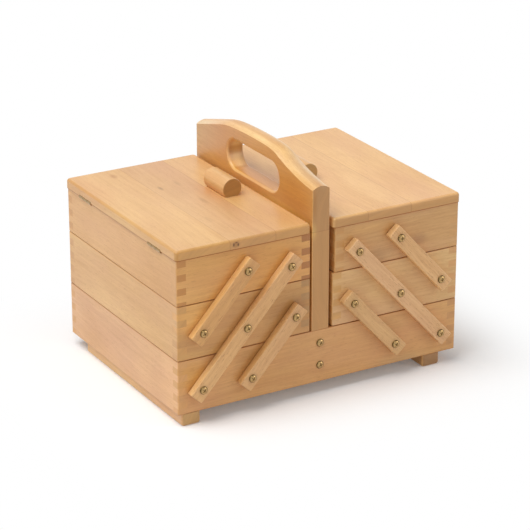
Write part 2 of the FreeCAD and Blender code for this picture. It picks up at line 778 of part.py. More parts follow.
def make_screw(label, length):
    """A dome-headed screw along Y, its head toward -Y, its seat at the origin."""
    body = new_body(label)
    profile = new_sketch(body, "XY_Plane", "profile")
    corners = [
        ("0", "-head_height"),
        ("0", length),
        ("shank_diameter / 2", length),
        ("shank_diameter / 2", "0"),
        ("head_diameter / 2", "0"),
        ("head_diameter / 2", "-head_rim"),
    ]
    points = [FreeCAD.Vector(value(across), value(along), 0) for across, along in corners]
    for start, stop in zip(points, points[1:]):
        profile.addGeometry(Part.LineSegment(start, stop), False)
    last = profile.GeometryCount - 1
    rise = value("head_height - head_rim")
    half = value("head_diameter / 2")
    radius = (half ** 2 + rise ** 2) / (2 * rise)
    centre = value("-head_height") + radius
    arc = add_arc(profile, FreeCAD.Vector(0, centre, 0), radius, -math.pi / 2,
                  math.atan2(value("-head_rim") - centre, half))
    for index in range(last):
        constrain(profile, "Coincident", index, 2, index + 1, 1)
    for index, corner in enumerate(corners[:-1]):
        fix_point(profile, index, 1, *corner)
    fix_point(profile, last, 2, *corners[-1])
    constrain(profile, "Coincident", arc, 1, 0, 1)
    constrain(profile, "Coincident", arc, 2, last, 2)
    constrain(profile, "PointOnObject", arc, 3, -2)
    turned = body.newObject("PartDesign::Revolution", f"{label}_turned")
    turned.Profile = profile
    turned.ReferenceAxis = (profile, ["V_Axis"])
    turned.Angle = 360
    return body


def screw_places(sides, pivots, bottom):
    """Both ends of every pivot; the heads lie just clear of the arms."""
    seat = f"({FRONT} + arm_thickness + 2 * arm_play)"
    return [(signed(side, out), signed(sign, seat), f"{bottom} + {up}", turn)
            for side in sides
            for out, up in pivots
            for sign, turn in ((-1, 0), (1, 180))]


# ---------------------------------------------------------------- lid hinges

def make_leaf(label, upward, knuckles):
    """One hinge leaf with its knuckles, about a hinge line along Y through the origin.

    knuckles lists the (start, end) of each knuckle along the line.
    """
    pieces = []
    low = "lid_gap / 2" if upward else "-lid_gap / 2 - leaf_thickness"
    clear = "(barrel_diameter / 2 + hinge_play)"
    plate = doc.addObject("Part::Box", f"{label}_plate")
    bind(plate, "Length", f"leaf_reach - {clear}")
    bind(plate, "Width", "hinge_length")
    bind(plate, "Height", "leaf_thickness")
    place(plate, "-leaf_reach", "-hinge_length / 2", low)
    pieces.append(plate)
    for index, (start, end) in enumerate(knuckles, start=1):
        tab = doc.addObject("Part::Box", f"{label}_tab_{index}")
        bind(tab, "Length", clear)
        bind(tab, "Width", f"({end}) - ({start})")
        bind(tab, "Height", "leaf_thickness")
        place(tab, f"-{clear}", start, low)
        barrel = doc.addObject("Part::Cylinder", f"{label}_barrel_{index}")
        bind(barrel, "Radius", "barrel_diameter / 2")
        bind(barrel, "Height", f"({end}) - ({start})")
        place(barrel, "0", start, "0", -90, axis=(1, 0, 0))
        pieces += [tab, barrel]
    blank = doc.addObject("Part::MultiFuse", f"{label}_blank")
    blank.Shapes = pieces
    bore = doc.addObject("Part::Cylinder", f"{label}_bore")
    bind(bore, "Radius", "pin_diameter / 2 + turning_fit")
    bind(bore, "Height", "hinge_length + 2 * hinge_play")
    place(bore, "0", "-hinge_length / 2 - hinge_play", "0", -90, axis=(1, 0, 0))
    leaf = doc.addObject("Part::Cut", label)
    leaf.Base = blank
    leaf.Tool = bore
    return leaf


def make_hinge_pin(label):
    pin = doc.addObject("Part::Cylinder", label)
    bind(pin, "Radius", "pin_diameter / 2")
    bind(pin, "Height", "hinge_length")
    return pin


# ---------------------------------------------------------------- the whole box

pivot_screw = make_screw("pivot_screw", PIVOT_SHANK)
board_screw = make_screw("board_screw", BOARD_SHANK)
third = "(hinge_length / 6)"
tray_leaf = make_leaf("tray_leaf", False, [
    ("-hinge_length / 2", f"-{third} - hinge_play / 2"),
    (f"{third} + hinge_play / 2", "hinge_length / 2"),
])
lid_leaf = make_leaf("lid_leaf", True, [
    (f"-{third} + hinge_play / 2", f"{third} - hinge_play / 2"),
])
hinge_pin = make_hinge_pin("hinge_pin")

parts = make_base()
runner_edge = "(box_width / 2 - runner_width / 2)"
parts.append(make_runner("left_runner", f"-({runner_edge} - left_runner_inset)"))
parts.append(make_runner("right_runner", f"({runner_edge} - right_runner_inset)"))
parts.append(make_handle_board())
parts.append(group("handle_board_screws", board_screw, [
    ("-board_shift", signed(sign, FRONT), f"runner_height + {up}", turn)
    for up in BOARD_SCREWS
    for sign, turn in ((-1, 0), (1, 180))
]))
parts.append(group("base_arm_screws", pivot_screw,
                   screw_places((LEFT, RIGHT), (LONG_BASE, LOWER_BASE), "runner_height")))

for half_name, side in (("left", LEFT), ("right", RIGHT)):
    middle_pivots = (LONG_MIDDLE, LOWER_MIDDLE, UPPER_MIDDLE)
    top_pivots = (LONG_TOP, UPPER_TOP)
    top_inner = TRAY_INNER if side == LEFT else f"({TRAY_INNER} + right_top_tray_inset)"
    parts += make_tray(f"{half_name}_middle_tray", side, "middle_height", MIDDLE_BOTTOM,
                       TRAY_INNER, middle_pivots, False)
    parts += make_tray(f"{half_name}_top_tray", side, "top_height", TOP_BOTTOM,
                       top_inner, top_pivots, True)
    parts.append(group(f"{half_name}_middle_tray_arm_screws", pivot_screw,
                       screw_places((side,), middle_pivots, MIDDLE_BOTTOM)))
    parts.append(group(f"{half_name}_top_tray_arm_screws", pivot_screw,
                       screw_places((side,), top_pivots, TOP_BOTTOM)))
    for end in ("front", "back"):
        parts.append(make_arm(f"{half_name}_long_arm_{end}", side, end, 3,
                              LONG_BASE, "runner_height"))
        parts.append(make_arm(f"{half_name}_lower_arm_{end}", side, end, 2,
                              LOWER_BASE, "runner_height"))
        parts.append(make_arm(f"{half_name}_upper_arm_{end}", side, end, 2,
                              UPPER_MIDDLE, MIDDLE_BOTTOM))
    parts.append(make_lid(half_name, side))
    knob_out = f"({TRAY_INNER} + {half_name}_knob_in)"
    parts.append(make_knob(f"{half_name}_lid_knob", signed(side, knob_out)))
    turn = 0 if side == RIGHT else 180
    hinges = [(signed(side, HINGE_OUT), signed(sign, f"({FRONT} - hinge_from_end)"),
               HINGE_LEVEL, turn) for sign in (-1, 1)]
    parts.append(group(f"{half_name}_hinge_tray_leaves", tray_leaf, hinges))
    parts.append(group(f"{half_name}_hinge_lid_leaves", lid_leaf, hinges))
    pins = [(out, f"{back} - hinge_length / 2", up, -90) for out, back, up, _ in hinges]
    parts.append(group(f"{half_name}_hinge_pins", hinge_pin, pins, axis=(1, 0, 0)))

doc.recompute()


# ---------------------------------------------------------------- checks and files

def check_document():
    """Every object is up to date, and every pocket took wood away."""
    for item in doc.Objects:
        failed = [state for state in item.State if state in ("Invalid", "Error")]
        if failed:
            raise RuntimeError(f"{item.Label} is {failed[0]}: {item.getStatusString()}")
        if item.TypeId == "PartDesign::Pocket":
            before = item.BaseFeature.Shape.Volume
            if item.Shape.Volume > before - LEAST_CUT:
                raise RuntimeError(f"{item.Label} cuts nothing")


def check_part(part):
    if part.Shape.isNull() or not part.Shape.isValid():
        raise RuntimeError(f"{part.Label} has no valid shape")


check_document()
for part in parts:
    check_part(part)
os.makedirs("parts", exist_ok=True)
for part in parts:
    part.Shape.exportStep(f"parts/{part.Label}.step")
    print(f"{part.Label}: {len(part.Shape.Solids)} solids, {part.Shape.Volume:.0f} mm3")
print(f"{len(parts)} nodes")
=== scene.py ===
import math

import bpy
import numpy as np
from bpy.props import FloatProperty, FloatVectorProperty, PointerProperty
from mathutils import Euler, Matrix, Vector


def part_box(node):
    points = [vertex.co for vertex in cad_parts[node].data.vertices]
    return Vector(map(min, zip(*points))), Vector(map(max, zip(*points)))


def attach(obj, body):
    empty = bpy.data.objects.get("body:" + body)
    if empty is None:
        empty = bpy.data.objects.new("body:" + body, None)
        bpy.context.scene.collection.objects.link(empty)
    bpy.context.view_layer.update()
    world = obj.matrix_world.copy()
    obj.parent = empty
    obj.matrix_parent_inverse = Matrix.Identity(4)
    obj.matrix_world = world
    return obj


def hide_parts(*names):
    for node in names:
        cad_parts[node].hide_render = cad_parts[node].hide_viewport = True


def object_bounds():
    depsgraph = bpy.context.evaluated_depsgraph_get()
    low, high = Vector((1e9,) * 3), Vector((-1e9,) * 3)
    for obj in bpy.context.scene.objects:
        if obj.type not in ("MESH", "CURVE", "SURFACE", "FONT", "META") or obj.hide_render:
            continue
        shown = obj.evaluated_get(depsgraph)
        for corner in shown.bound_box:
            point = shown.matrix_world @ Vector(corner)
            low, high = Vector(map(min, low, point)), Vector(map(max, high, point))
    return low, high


# Looks of a wooden cantilever sewing box: clear-lacquered rubberwood, brass-plated screws
# and small brass hinges, on a plain white stage.  Lengths are in metres, or in millimetres
# where it says so.

bl_info = {
    "name": "Cantilever Sewing Box Looks",
    "version": (1, 0, 0),
    "blender": (4, 5, 0),
    "location": "3D View > Sidebar > Sewing Box",
    "description": "Finishes, screws and stage for a wooden cantilever sewing box",
    "category": "Object",
}

MM = 0.001
HALVES = ("left", "right")
TRAYS = tuple(f"{half}_{tier}_tray" for half in HALVES for tier in ("middle", "top"))

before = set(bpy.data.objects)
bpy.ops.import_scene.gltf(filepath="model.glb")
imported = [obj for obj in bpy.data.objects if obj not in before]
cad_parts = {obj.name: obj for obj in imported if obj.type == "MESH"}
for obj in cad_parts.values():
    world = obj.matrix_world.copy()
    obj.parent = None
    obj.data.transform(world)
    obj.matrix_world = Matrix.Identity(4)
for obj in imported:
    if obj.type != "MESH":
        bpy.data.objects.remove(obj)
cad_low, cad_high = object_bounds()


# ---------------------------------------------------------------- colours and nodes

def linear(code):
    """The linear red, green and blue of an sRGB hex colour such as '#DCA56C'."""
    parts = [int(code[place:place + 2], 16) / 255 for place in (1, 3, 5)]
    return tuple(part / 12.92 if part <= 0.04045 else ((part + 0.055) / 1.055) ** 2.4
                 for part in parts)


def add_node(tree, kind, links=None, **settings):
    """Add a node with its settings; links gives each input a value or an output to follow."""
    made = tree.nodes.new(kind)
    for name, setting in settings.items():
        setattr(made, name, setting)
    for name, source in (links or {}).items():
        target = made.inputs[name]
        if isinstance(source, bpy.types.NodeSocket):
            tree.links.new(source, target)
        else:
            target.default_value = source
    return made


def rgba(colour):
    """A colour with nothing of it see-through."""
    return (*colour, 1.0)


# ---------------------------------------------------------------- settings

def colour_setting(name, code, description):
    """A colour that a user may change; its default is an sRGB hex colour."""
    return FloatVectorProperty(name=name, description=description, subtype="COLOR", size=3,
                               min=0.0, max=1.0, default=linear(code))


def length_setting(name, millimetres, description):
    """A length that a user may change; its default is in millimetres."""
    return FloatProperty(name=name, description=description, unit="LENGTH", subtype="DISTANCE",
                         min=0.0, default=millimetres * MM)


def share_setting(name, default, description):
    """A share between none and all that a user may change."""
    return FloatProperty(name=name, description=description, subtype="FACTOR", min=0.0,
                         max=1.0, default=default)


class SewingBoxWood(bpy.types.PropertyGroup):
    """Planed rubberwood under a clear satin lacquer."""
    light: colour_setting("Early wood", "#EABA78", "Colour of the pale wood between the rings")
    dark: colour_setting("Late wood", "#D29C5D", "Colour of the darker late wood in the rings")
    pink: colour_setting("Heartwood", "#DBA376", "Colour of the pinkish clouds in the wood")
    pore: colour_setting("Pores", "#A3602A", "Colour of the short dark pores and of knots")
    end_grain: colour_setting("End grain", "#C08A55", "Colour where the fibres are cut across")
    veneer: colour_setting("Plywood face", "#E6C08E", "Colour of the thin plywood floors")
    ring_spacing: length_setting("Ring spacing", 6.5, "Distance between growth rings")
    fibre_width: length_setting("Fibre width", 1.8, "Width of the fine streaks in the grain")
    fibre_length: length_setting("Fibre length", 38.0, "Length of the fine streaks")
    pore_width: length_setting("Pore width", 0.45, "Width of the short dark pores")
    pore_length: length_setting("Pore length", 6.0, "Length of the short dark pores")
    patch_size: length_setting("Patch size", 60.0, "Size of the slow changes of tone")
    # Painted shade in a thin line along the edges where the tiers meet and under the lids.
    gap_shade: colour_setting("Arris", "#A65C12", "Colour of the edges where the tiers meet")
    gap_shade_width: length_setting("Arris width", 0.6, "Width of the dark edges")
    roughness: share_setting("Roughness", 0.36, "Roughness of the satin lacquer")


class SewingBoxBrass(bpy.types.PropertyGroup):
    """Brass-plated steel of the screws and hinges."""
    bright: colour_setting("Brass", "#CFAE7C", "Colour of the screws' plating")
    dull: colour_setting("Dull brass", "#94713F", "Colour where the screws are dull")
    # Tarnish with painted shade in a screw's recess, and painted shade round its rim.
    tarnish_and_shade: colour_setting("Tarnish", "#54451F", "Colour in the recess and round the rim")
    hinge: colour_setting("Hinges", "#C2A478", "Colour of the hinges")
    hinge_dull: colour_setting("Dull hinges", "#94774D", "Colour where the hinges are dull")
    roughness: share_setting("Roughness", 0.2, "Roughness of the plating")
    head_radius: length_setting("Head radius", 4.0, "Radius of a screw's head")
    head_height: length_setting("Head height", 2.2, "Height of a screw's domed head")
    head_rim: length_setting("Head rim", 0.4, "Height of the rim under the dome")
    shank_radius: length_setting("Shank radius", 2.0, "Radius of a screw's shank")
    recess_width: length_setting("Recess width", 0.75, "Width of each arm of the cross recess")
    recess_reach: length_setting("Recess reach", 2.2, "Reach of the cross recess from the middle")
    recess_depth: length_setting("Recess depth", 1.1, "Depth of the cross recess")


class SewingBoxStage(bpy.types.PropertyGroup):
    """Floor, soft studio light and camera."""
    floor: colour_setting("Floor", "#EFEDEA", "Colour of the floor in the light it gives back")
    fill: FloatProperty(name="Fill", description="Strength of the even light all round",
                        min=0.0, default=0.34)
    key: FloatProperty(name="Key lamp", description="Power of the large lamp overhead",
                       min=0.0, unit="POWER", default=43.5)
    side: FloatProperty(name="Side lamp", description="Power of the lamp at the front right",
                        min=0.0, unit="POWER", default=8.0)
    lamp_size: length_setting("Lamp size", 1800.0, "Width of the overhead lamp")
    side_size: length_setting("Side lamp size", 1200.0, "Width of the side lamp")
    lamp_distance: length_setting("Lamp distance", 2400.0, "Distance from the box to the lamp")
    azimuth: FloatProperty(name="Azimuth", description="Camera angle round the box",
                           subtype="ANGLE", default=math.radians(-30.09))
    elevation: FloatProperty(name="Elevation", description="Camera angle above the horizon",
                             subtype="ANGLE", default=math.radians(22.04))
    distance: length_setting("Distance", 2427.7, "Distance from the camera to the box")
    aim_right: length_setting("Aim right", 3.9, "Aim point right of the middle")
    aim_height: length_setting("Aim height", 94.0, "Aim point above the floor")
    lens: FloatProperty(name="Lens", description="Focal length in millimetres, 36 mm sensor",
                        min=1.0, default=164.3)


# ---------------------------------------------------------------- wood

# The turn in degrees that brings a piece's grain onto X.
ALONG_X = (0.0, 0.0, 0.0)
ALONG_Y = (0.0, 0.0, -90.0)
RISING_LEFT = (0.0, 47.7, 0.0)
RISING_RIGHT = (0.0, -47.7, 0.0)

# Where a plank's figure starts, and how far in radians it lies askew.
FIGURE_START = (0.5, 3.0)
ASKEW = 0.06
# The grain strays sideways by up to WANDER, over this length and width of wood.
WANDER = 22.0 * MM
WANDER_LENGTH = 250.0 * MM
WANDER_WIDTH = 62.5 * MM
# Rings reach ten times, and clouds two and a half times, as far along the grain as across.
RING_REACH = 0.1
CLOUD_REACH = 0.4
# How many rings each unit of a figure's start stands for.
RINGS_APART = 100
# Beyond a glue line the figure jumps by this much, as another stave's would.
STAVE_JUMP = (0.37, 0.031, 0.023)
GLUE_HALF_WIDTH = 0.35 * MM
GLUE_DARKNESS = 0.35

# What share of the late wood's colour the rings and the clouds give, from least to most.
RING_SHARE = (0.475, 0.875)
CLOUD_SHARE = (-0.4, 0.25)
BLUSH = 0.5
END_PALE = 1.15
END_DARK = 0.85
# The wood under the lacquer, from smooth to dry, and the relief that shows through it.
DRYNESS = {"To Min": 0.55, "To Max": 0.65}
PORE_HEIGHT = -1.2
RELIEF = 0.06 * MM

# The part of a pattern that a change is spread over: a noise seldom leaves the middle of
# its range, and only its peaks are pores; a face is flat, rounded or cut across the grain
# by how far it turns; a patch is full in its core and gone at its rim.
NONE_TO_ALL = {"To Min": 0.0, "To Max": 1.0}
MOST_OF_NOISE = {"From Min": 0.3, "From Max": 0.7}
PEAKS_OF_NOISE = {"From Min": 0.62, "From Max": 0.74}
UPPER_CLOUDS = {"From Min": 0.45, "From Max": 0.68}
ACROSS_GRAIN = {"From Min": 0.6, "From Max": 0.95}
FLAT_TO_ROUNDED = {"From Min": 0.98, "From Max": 0.7}
PATCH_RIM_TO_CORE = {"From Min": 1.0, "From Max": 0.15}

# Low hills in the peeled veneer, for each metre, and the height lines on each hill.
VENEER_HILLS = (11.0, 3.0, 11.0)
VENEER_CONTOURS = 26.0
MOTTLES_PER_METRE = 900.0

# How dark the painted shade is along the edges where each kind of piece meets the next tier.
FRONT_GAP_SHADE = 0.7
SIDE_GAP_SHADE = 0.4
LID_GAP_SHADE = 0.8


def plank(grain, seed, tint=(1, 1, 1), end=(1, 1, 1), edge=(1, 1, 1), staves=None,
          pith=(60, 95), patches=(), pores=0.36, fibres=1.2):
    """How one piece of wood was cut.

    grain is the turn in degrees that brings its grain onto X and seed picks its figure.
    tint colours its faces and end its end grain; edge is painted light and shade on its
    rounded edges or on an arm's long narrow sides, as they face the light.  staves gives an
    axis, the glue lines' places on it in millimetres and each stave's tint.  pith is how far
    the heart of the tree lay off, across and up, in millimetres.  patches lists knots and
    other soft patches of tint, some of them painted light, shade or sheen: x, y, z, the
    reach along the grain, across it and up, in millimetres, and the tint in the middle.
    pores is how dark the pores are, and fibres how strongly the fine grain shows.
    """
    return {"grain": grain, "seed": seed, "tint": tint, "end": end, "edge": edge,
            "staves": staves, "pith": pith, "patches": patches, "pores": pores,
            "fibres": fibres}


def tinted(colour, tint, lightness=1.0):
    """A colour with each of its channels made stronger or weaker."""
    return rgba(channel * share * lightness for channel, share in zip(colour, tint))


def grain_scale(length, width):
    """The scale of a pattern this long along the grain and this wide across it."""
    return (1 / length, 1 / width, 1 / width)


def new_material(name):
    """An empty material and its node tree."""
    material = bpy.data.materials.new(name)
    material.use_nodes = True
    material.node_tree.nodes.clear()
    return material, material.node_tree


def stave_nodes(tree, place, spot, staves):
    """Shift the figure in each stave, and give its tint and the thin glue lines."""
    axis, edges, tints = staves
    split = add_node(tree, "ShaderNodeSeparateXYZ", {"Vector": place.outputs["Object"]})
    level = split.outputs[axis]
    count, tint, glue = 0.0, tints[0], 0.0
    for edge, before, after in zip(edges, tints, tints[1:]):
        past = add_node(tree, "ShaderNodeMath", {0: level, 1: edge * MM},
                        operation="GREATER_THAN").outputs[0]
        near = add_node(tree, "ShaderNodeMath", {0: level, 1: edge * MM, 2: GLUE_HALF_WIDTH},
                        operation="COMPARE").outputs[0]
        change = tuple(new - old for old, new in zip(before, after))
        count = add_node(tree, "ShaderNodeMath", {0: past, 1: count}).outputs[0]
        tint = add_node(tree, "ShaderNodeVectorMath", {0: past, 1: change, 2: tint},
                        operation="MULTIPLY_ADD").outputs[0]
        glue = add_node(tree, "ShaderNodeMath", {0: near, 1: glue}).outputs[0]
    moved = add_node(tree, "ShaderNodeVectorMath", {0: count, 1: STAVE_JUMP, 2: spot},
                     operation="MULTIPLY_ADD")
    return moved.outputs[0], tint, glue


def grain_nodes(tree, spot, cut, shift, tilt):
    """The rings, fibres and pores of the wood, all three along the same wandering grain.

    The rings are noise along the distance from the pith, so that no two are alike.  Real
    fibres are a few hundredths of a millimetre wide and real pores a quarter of one.  Both
    are too fine to show, so they are drawn as bundles of fibres and as wider pores.
    """
    look = bpy.context.scene.sewing_box_wood
    slow = add_node(tree, "ShaderNodeMapping", {
        "Vector": spot, "Location": shift,
        "Scale": grain_scale(WANDER_LENGTH, WANDER_WIDTH)})
    wander = add_node(tree, "ShaderNodeTexNoise", {
        "Vector": slow.outputs[0], "Scale": 1.0, "Detail": 2.0, "Roughness": 0.45})
    wandered = add_node(tree, "ShaderNodeVectorMath", {
        0: wander.outputs["Color"], 1: (0.0, WANDER, WANDER), 2: spot},
        operation="MULTIPLY_ADD").outputs[0]

    pith = (0.0, cut["pith"][0] * MM, cut["pith"][1] * MM)
    ringed = add_node(tree, "ShaderNodeMapping", {
        "Vector": wandered, "Location": pith, "Scale": (RING_REACH, 1.0, 1.0),
        "Rotation": (0.0, tilt[0], tilt[1])})
    radius = add_node(tree, "ShaderNodeVectorMath", {0: ringed.outputs[0]},
                      operation="LENGTH")
    turns = add_node(tree, "ShaderNodeMath", {
        0: radius.outputs["Value"], 1: 1 / look.ring_spacing, 2: shift[0] * RINGS_APART},
        operation="MULTIPLY_ADD")
    rings = add_node(tree, "ShaderNodeTexNoise", {
        "W": turns.outputs[0], "Scale": 1.0, "Detail": 4.0, "Roughness": 0.68},
        noise_dimensions="1D")

    fibre = add_node(tree, "ShaderNodeMapping", {
        "Vector": wandered, "Scale": grain_scale(look.fibre_length, look.fibre_width)})
    fibres = add_node(tree, "ShaderNodeTexNoise", {
        "Vector": fibre.outputs[0], "Scale": 1.0, "Detail": 4.0, "Roughness": 0.72})
    pore = add_node(tree, "ShaderNodeMapping", {
        "Vector": wandered, "Scale": grain_scale(look.pore_length, look.pore_width)})
    pores = add_node(tree, "ShaderNodeTexNoise", {
        "Vector": pore.outputs[0], "Scale": 1.0, "Detail": 1.0, "Roughness": 0.5})
    pore_mask = add_node(tree, "ShaderNodeMapRange", {
        "Value": pores.outputs[0], **PEAKS_OF_NOISE, "To Min": 0.0, "To Max": cut["pores"]})
    return rings.outputs[0], fibres.outputs[0], pore_mask.outputs[0]


def face_colour(tree, cut, rings, fibres, pores, clouds):
    """Pale wood darkened by rings, clouds and fibres, then blushed pink and flecked."""
    look = bpy.context.scene.sewing_box_wood
    light, dark, pink = (tinted(colour, cut["tint"])
                         for colour in (look.light, look.dark, look.pink))
    # A noise is a half on the whole, so half of the fibres' strength is taken off here.
    fibre_mean = cut["fibres"] / 2
    ring_part = add_node(tree, "ShaderNodeMapRange", {
        "Value": rings, **MOST_OF_NOISE, "To Min": RING_SHARE[0] - fibre_mean,
        "To Max": RING_SHARE[1] - fibre_mean})
    cloud_part = add_node(tree, "ShaderNodeMapRange", {
        "Value": clouds.outputs[0], **MOST_OF_NOISE, "To Min": CLOUD_SHARE[0],
        "To Max": CLOUD_SHARE[1]})
    banded = add_node(tree, "ShaderNodeMath", {
        0: ring_part.outputs[0], 1: cloud_part.outputs[0]})
    late = add_node(tree, "ShaderNodeMath", {
        0: fibres, 1: cut["fibres"], 2: banded.outputs[0]}, operation="MULTIPLY_ADD",
        use_clamp=True)
    body = add_node(tree, "ShaderNodeMix", {"Factor": late.outputs[0], 6: light, 7: dark},
                    data_type="RGBA")
    pinkness = add_node(tree, "ShaderNodeMapRange", {
        "Value": clouds.outputs["Color"], **UPPER_CLOUDS, "To Min": 0.0, "To Max": BLUSH})
    blushed = add_node(tree, "ShaderNodeMix", {
        "Factor": pinkness.outputs[0], 6: body.outputs[2], 7: pink}, data_type="RGBA")
    flecked = add_node(tree, "ShaderNodeMix", {
        "Factor": pores, 6: blushed.outputs[2], 7: rgba(look.pore)}, data_type="RGBA")
    return flecked.outputs[2]


def end_nodes(tree, cut, facing, rings, colour):
    """Across the grain the rings show as arcs, and the whole face is a little darker."""
    look = bpy.context.scene.sewing_box_wood
    split = add_node(tree, "ShaderNodeSeparateXYZ", {"Vector": facing})
    across = add_node(tree, "ShaderNodeMath", {0: split.outputs["X"]}, operation="ABSOLUTE")
    cut_across = add_node(tree, "ShaderNodeMapRange", {
        "Value": across.outputs[0], **ACROSS_GRAIN, **NONE_TO_ALL},
        interpolation_type="SMOOTHSTEP")
    end_colour = add_node(tree, "ShaderNodeMix", {
        "Factor": rings, 6: tinted(look.end_grain, cut["end"], END_PALE),
        7: tinted(look.end_grain, cut["end"], END_DARK)}, data_type="RGBA")
    return add_node(tree, "ShaderNodeMix", {
        "Factor": cut_across.outputs[0], 6: colour, 7: end_colour.outputs[2]},
        data_type="RGBA").outputs[2]


def painted_edge_light_nodes(tree, cut, facing, colour):
    """Paint light and shade on an arm's long narrow sides, or on another piece's rounded edges.

    The sum of the fourth powers of a normal's parts is one on a flat face and less on a
    rounded edge.
    """
    if cut["grain"] in (RISING_LEFT, RISING_RIGHT):
        split = add_node(tree, "ShaderNodeSeparateXYZ", {"Vector": facing})
        edge = add_node(tree, "ShaderNodeMath", {0: split.outputs["Z"]},
                        operation="ABSOLUTE", use_clamp=True)
    else:
        squared = add_node(tree, "ShaderNodeVectorMath", {0: facing, 1: facing},
                           operation="MULTIPLY")
        squareness = add_node(tree, "ShaderNodeVectorMath", {
            0: squared.outputs[0], 1: squared.outputs[0]}, operation="DOT_PRODUCT")
        edge = add_node(tree, "ShaderNodeMapRange", {
            "Value": squareness.outputs["Value"], **FLAT_TO_ROUNDED, **NONE_TO_ALL},
            interpolation_type="SMOOTHSTEP")
    return add_node(tree, "ShaderNodeMix", {
        "Factor": edge.outputs[0], 6: colour, 7: rgba(cut["edge"])}, data_type="RGBA",
        blend_type="MULTIPLY").outputs[2]


def patch_nodes(tree, spot, colour, patches, turn):
    """Tint the wood in soft oval patches, most in the middle and nothing at the rim."""
    rotation = Euler(turn)
    for *centre, along, across, up, tint in patches:
        centre = Vector(centre) * MM
        centre.rotate(rotation)
        size = (1 / (along * MM), 1 / (across * MM), 1 / (up * MM))
        offset = add_node(tree, "ShaderNodeVectorMath", {0: spot, 1: centre},
                          operation="SUBTRACT")
        scaled = add_node(tree, "ShaderNodeVectorMath", {0: offset.outputs[0], 1: size},
                          operation="MULTIPLY")
        reach = add_node(tree, "ShaderNodeVectorMath", {0: scaled.outputs[0]},
                         operation="LENGTH")
        inside = add_node(tree, "ShaderNodeMapRange", {
            "Value": reach.outputs["Value"], **PATCH_RIM_TO_CORE, **NONE_TO_ALL},
            interpolation_type="SMOOTHSTEP")
        colour = add_node(tree, "ShaderNodeMix", {
            "Factor": inside.outputs[0], 6: colour, 7: rgba(tint)}, data_type="RGBA",
            blend_type="MULTIPLY").outputs[2]
    return colour


def tier_gap_shade_nodes(tree, place, colour, levels, strength):
    """Painted shade: darken the wood in a thin line along its edges at these heights, where the
    tiers meet.
    """
    split = add_node(tree, "ShaderNodeSeparateXYZ", {"Vector": place.outputs["Object"]})
    look = bpy.context.scene.sewing_box_wood
    for level in levels:
        near = add_node(tree, "ShaderNodeMath", {
            0: split.outputs["Z"], 1: level, 2: look.gap_shade_width}, operation="COMPARE")
        share = add_node(tree, "ShaderNodeMath", {0: near.outputs[0], 1: strength},
                         operation="MULTIPLY")
        colour = add_node(tree, "ShaderNodeMix", {
            "Factor": share.outputs[0], 6: colour, 7: rgba(look.gap_shade)},
            data_type="RGBA").outputs[2]
    return colour


def wood_material(name, cut, shaded_heights=(), gap_shade_strength=0.0):
    """Rubberwood, planed and clear-lacquered.

    Uneven rings round a pith outside the plank give soft bands and arches, pinkish clouds
    drift through it, fine fibres and short pores run along the grain, and faces cut
    across the grain are a little darker.  Painted shade darkens the edges where the tiers
    meet, and painted light and shade tint the rounded edges, an arm's narrow sides and
    some patches.  The wood itself is dull, and a clear coat gives the satin sheen.
    """
    look = bpy.context.scene.sewing_box_wood
    material, tree = new_material(name)
    rng = np.random.default_rng(cut["seed"])
    shift = tuple(rng.uniform(*FIGURE_START, 3))
    tilt = rng.uniform(-ASKEW, ASKEW, 2)
    turn = [math.radians(angle) for angle in cut["grain"]]

    place = add_node(tree, "ShaderNodeTexCoord")
    along = add_node(tree, "ShaderNodeMapping", {
        "Vector": place.outputs["Object"], "Rotation": turn}).outputs[0]
    facing = add_node(tree, "ShaderNodeMapping", {
        "Vector": place.outputs["Normal"], "Rotation": turn}).outputs[0]
    spot = along
    if cut["staves"]:
        spot, tint, glue = stave_nodes(tree, place, along, cut["staves"])
    cloud = add_node(tree, "ShaderNodeMapping", {
        "Vector": spot, "Location": shift,
        "Scale": grain_scale(look.patch_size / CLOUD_REACH, look.patch_size)})
    clouds = add_node(tree, "ShaderNodeTexNoise", {
        "Vector": cloud.outputs[0], "Scale": 1.0, "Detail": 3.0, "Roughness": 0.55})

    rings, fibres, pores = grain_nodes(tree, spot, cut, shift, tilt)
    colour = face_colour(tree, cut, rings, fibres, pores, clouds)
    colour = end_nodes(tree, cut, facing, rings, colour)
    colour = painted_edge_light_nodes(tree, cut, facing, colour)
    if cut["staves"]:
        colour = add_node(tree, "ShaderNodeVectorMath", {0: colour, 1: tint},
                          operation="MULTIPLY").outputs[0]
        joint = add_node(tree, "ShaderNodeMath", {0: glue, 1: GLUE_DARKNESS},
                         operation="MULTIPLY")
        colour = add_node(tree, "ShaderNodeMix", {
            "Factor": joint.outputs[0], 6: colour, 7: rgba(look.pore)},
            data_type="RGBA").outputs[2]
    colour = patch_nodes(tree, along, colour, cut["patches"], turn)
    colour = tier_gap_shade_nodes(tree, place, colour, shaded_heights, gap_shade_strength)

    dryness = add_node(tree, "ShaderNodeMapRange", {
        "Value": clouds.outputs[0], **MOST_OF_NOISE, **DRYNESS})
    relief = add_node(tree, "ShaderNodeMath", {0: pores, 1: PORE_HEIGHT, 2: fibres},
                      operation="MULTIPLY_ADD")
    bump = add_node(tree, "ShaderNodeBump", {
        "Height": relief.outputs[0], "Strength": 0.25, "Distance": RELIEF})
    surface = add_node(tree, "ShaderNodeBsdfPrincipled", {
        "Base Color": colour, "Roughness": dryness.outputs[0], "IOR": 1.5,
        "Specular IOR Level": 0.1, "Normal": bump.outputs[0], "Coat Weight": 1.0,
        "Coat Roughness": look.roughness, "Coat IOR": 1.5, "Coat Normal": bump.outputs[0]})
    add_node(tree, "ShaderNodeOutputMaterial", {"Surface": surface.outputs[0]})
    return material


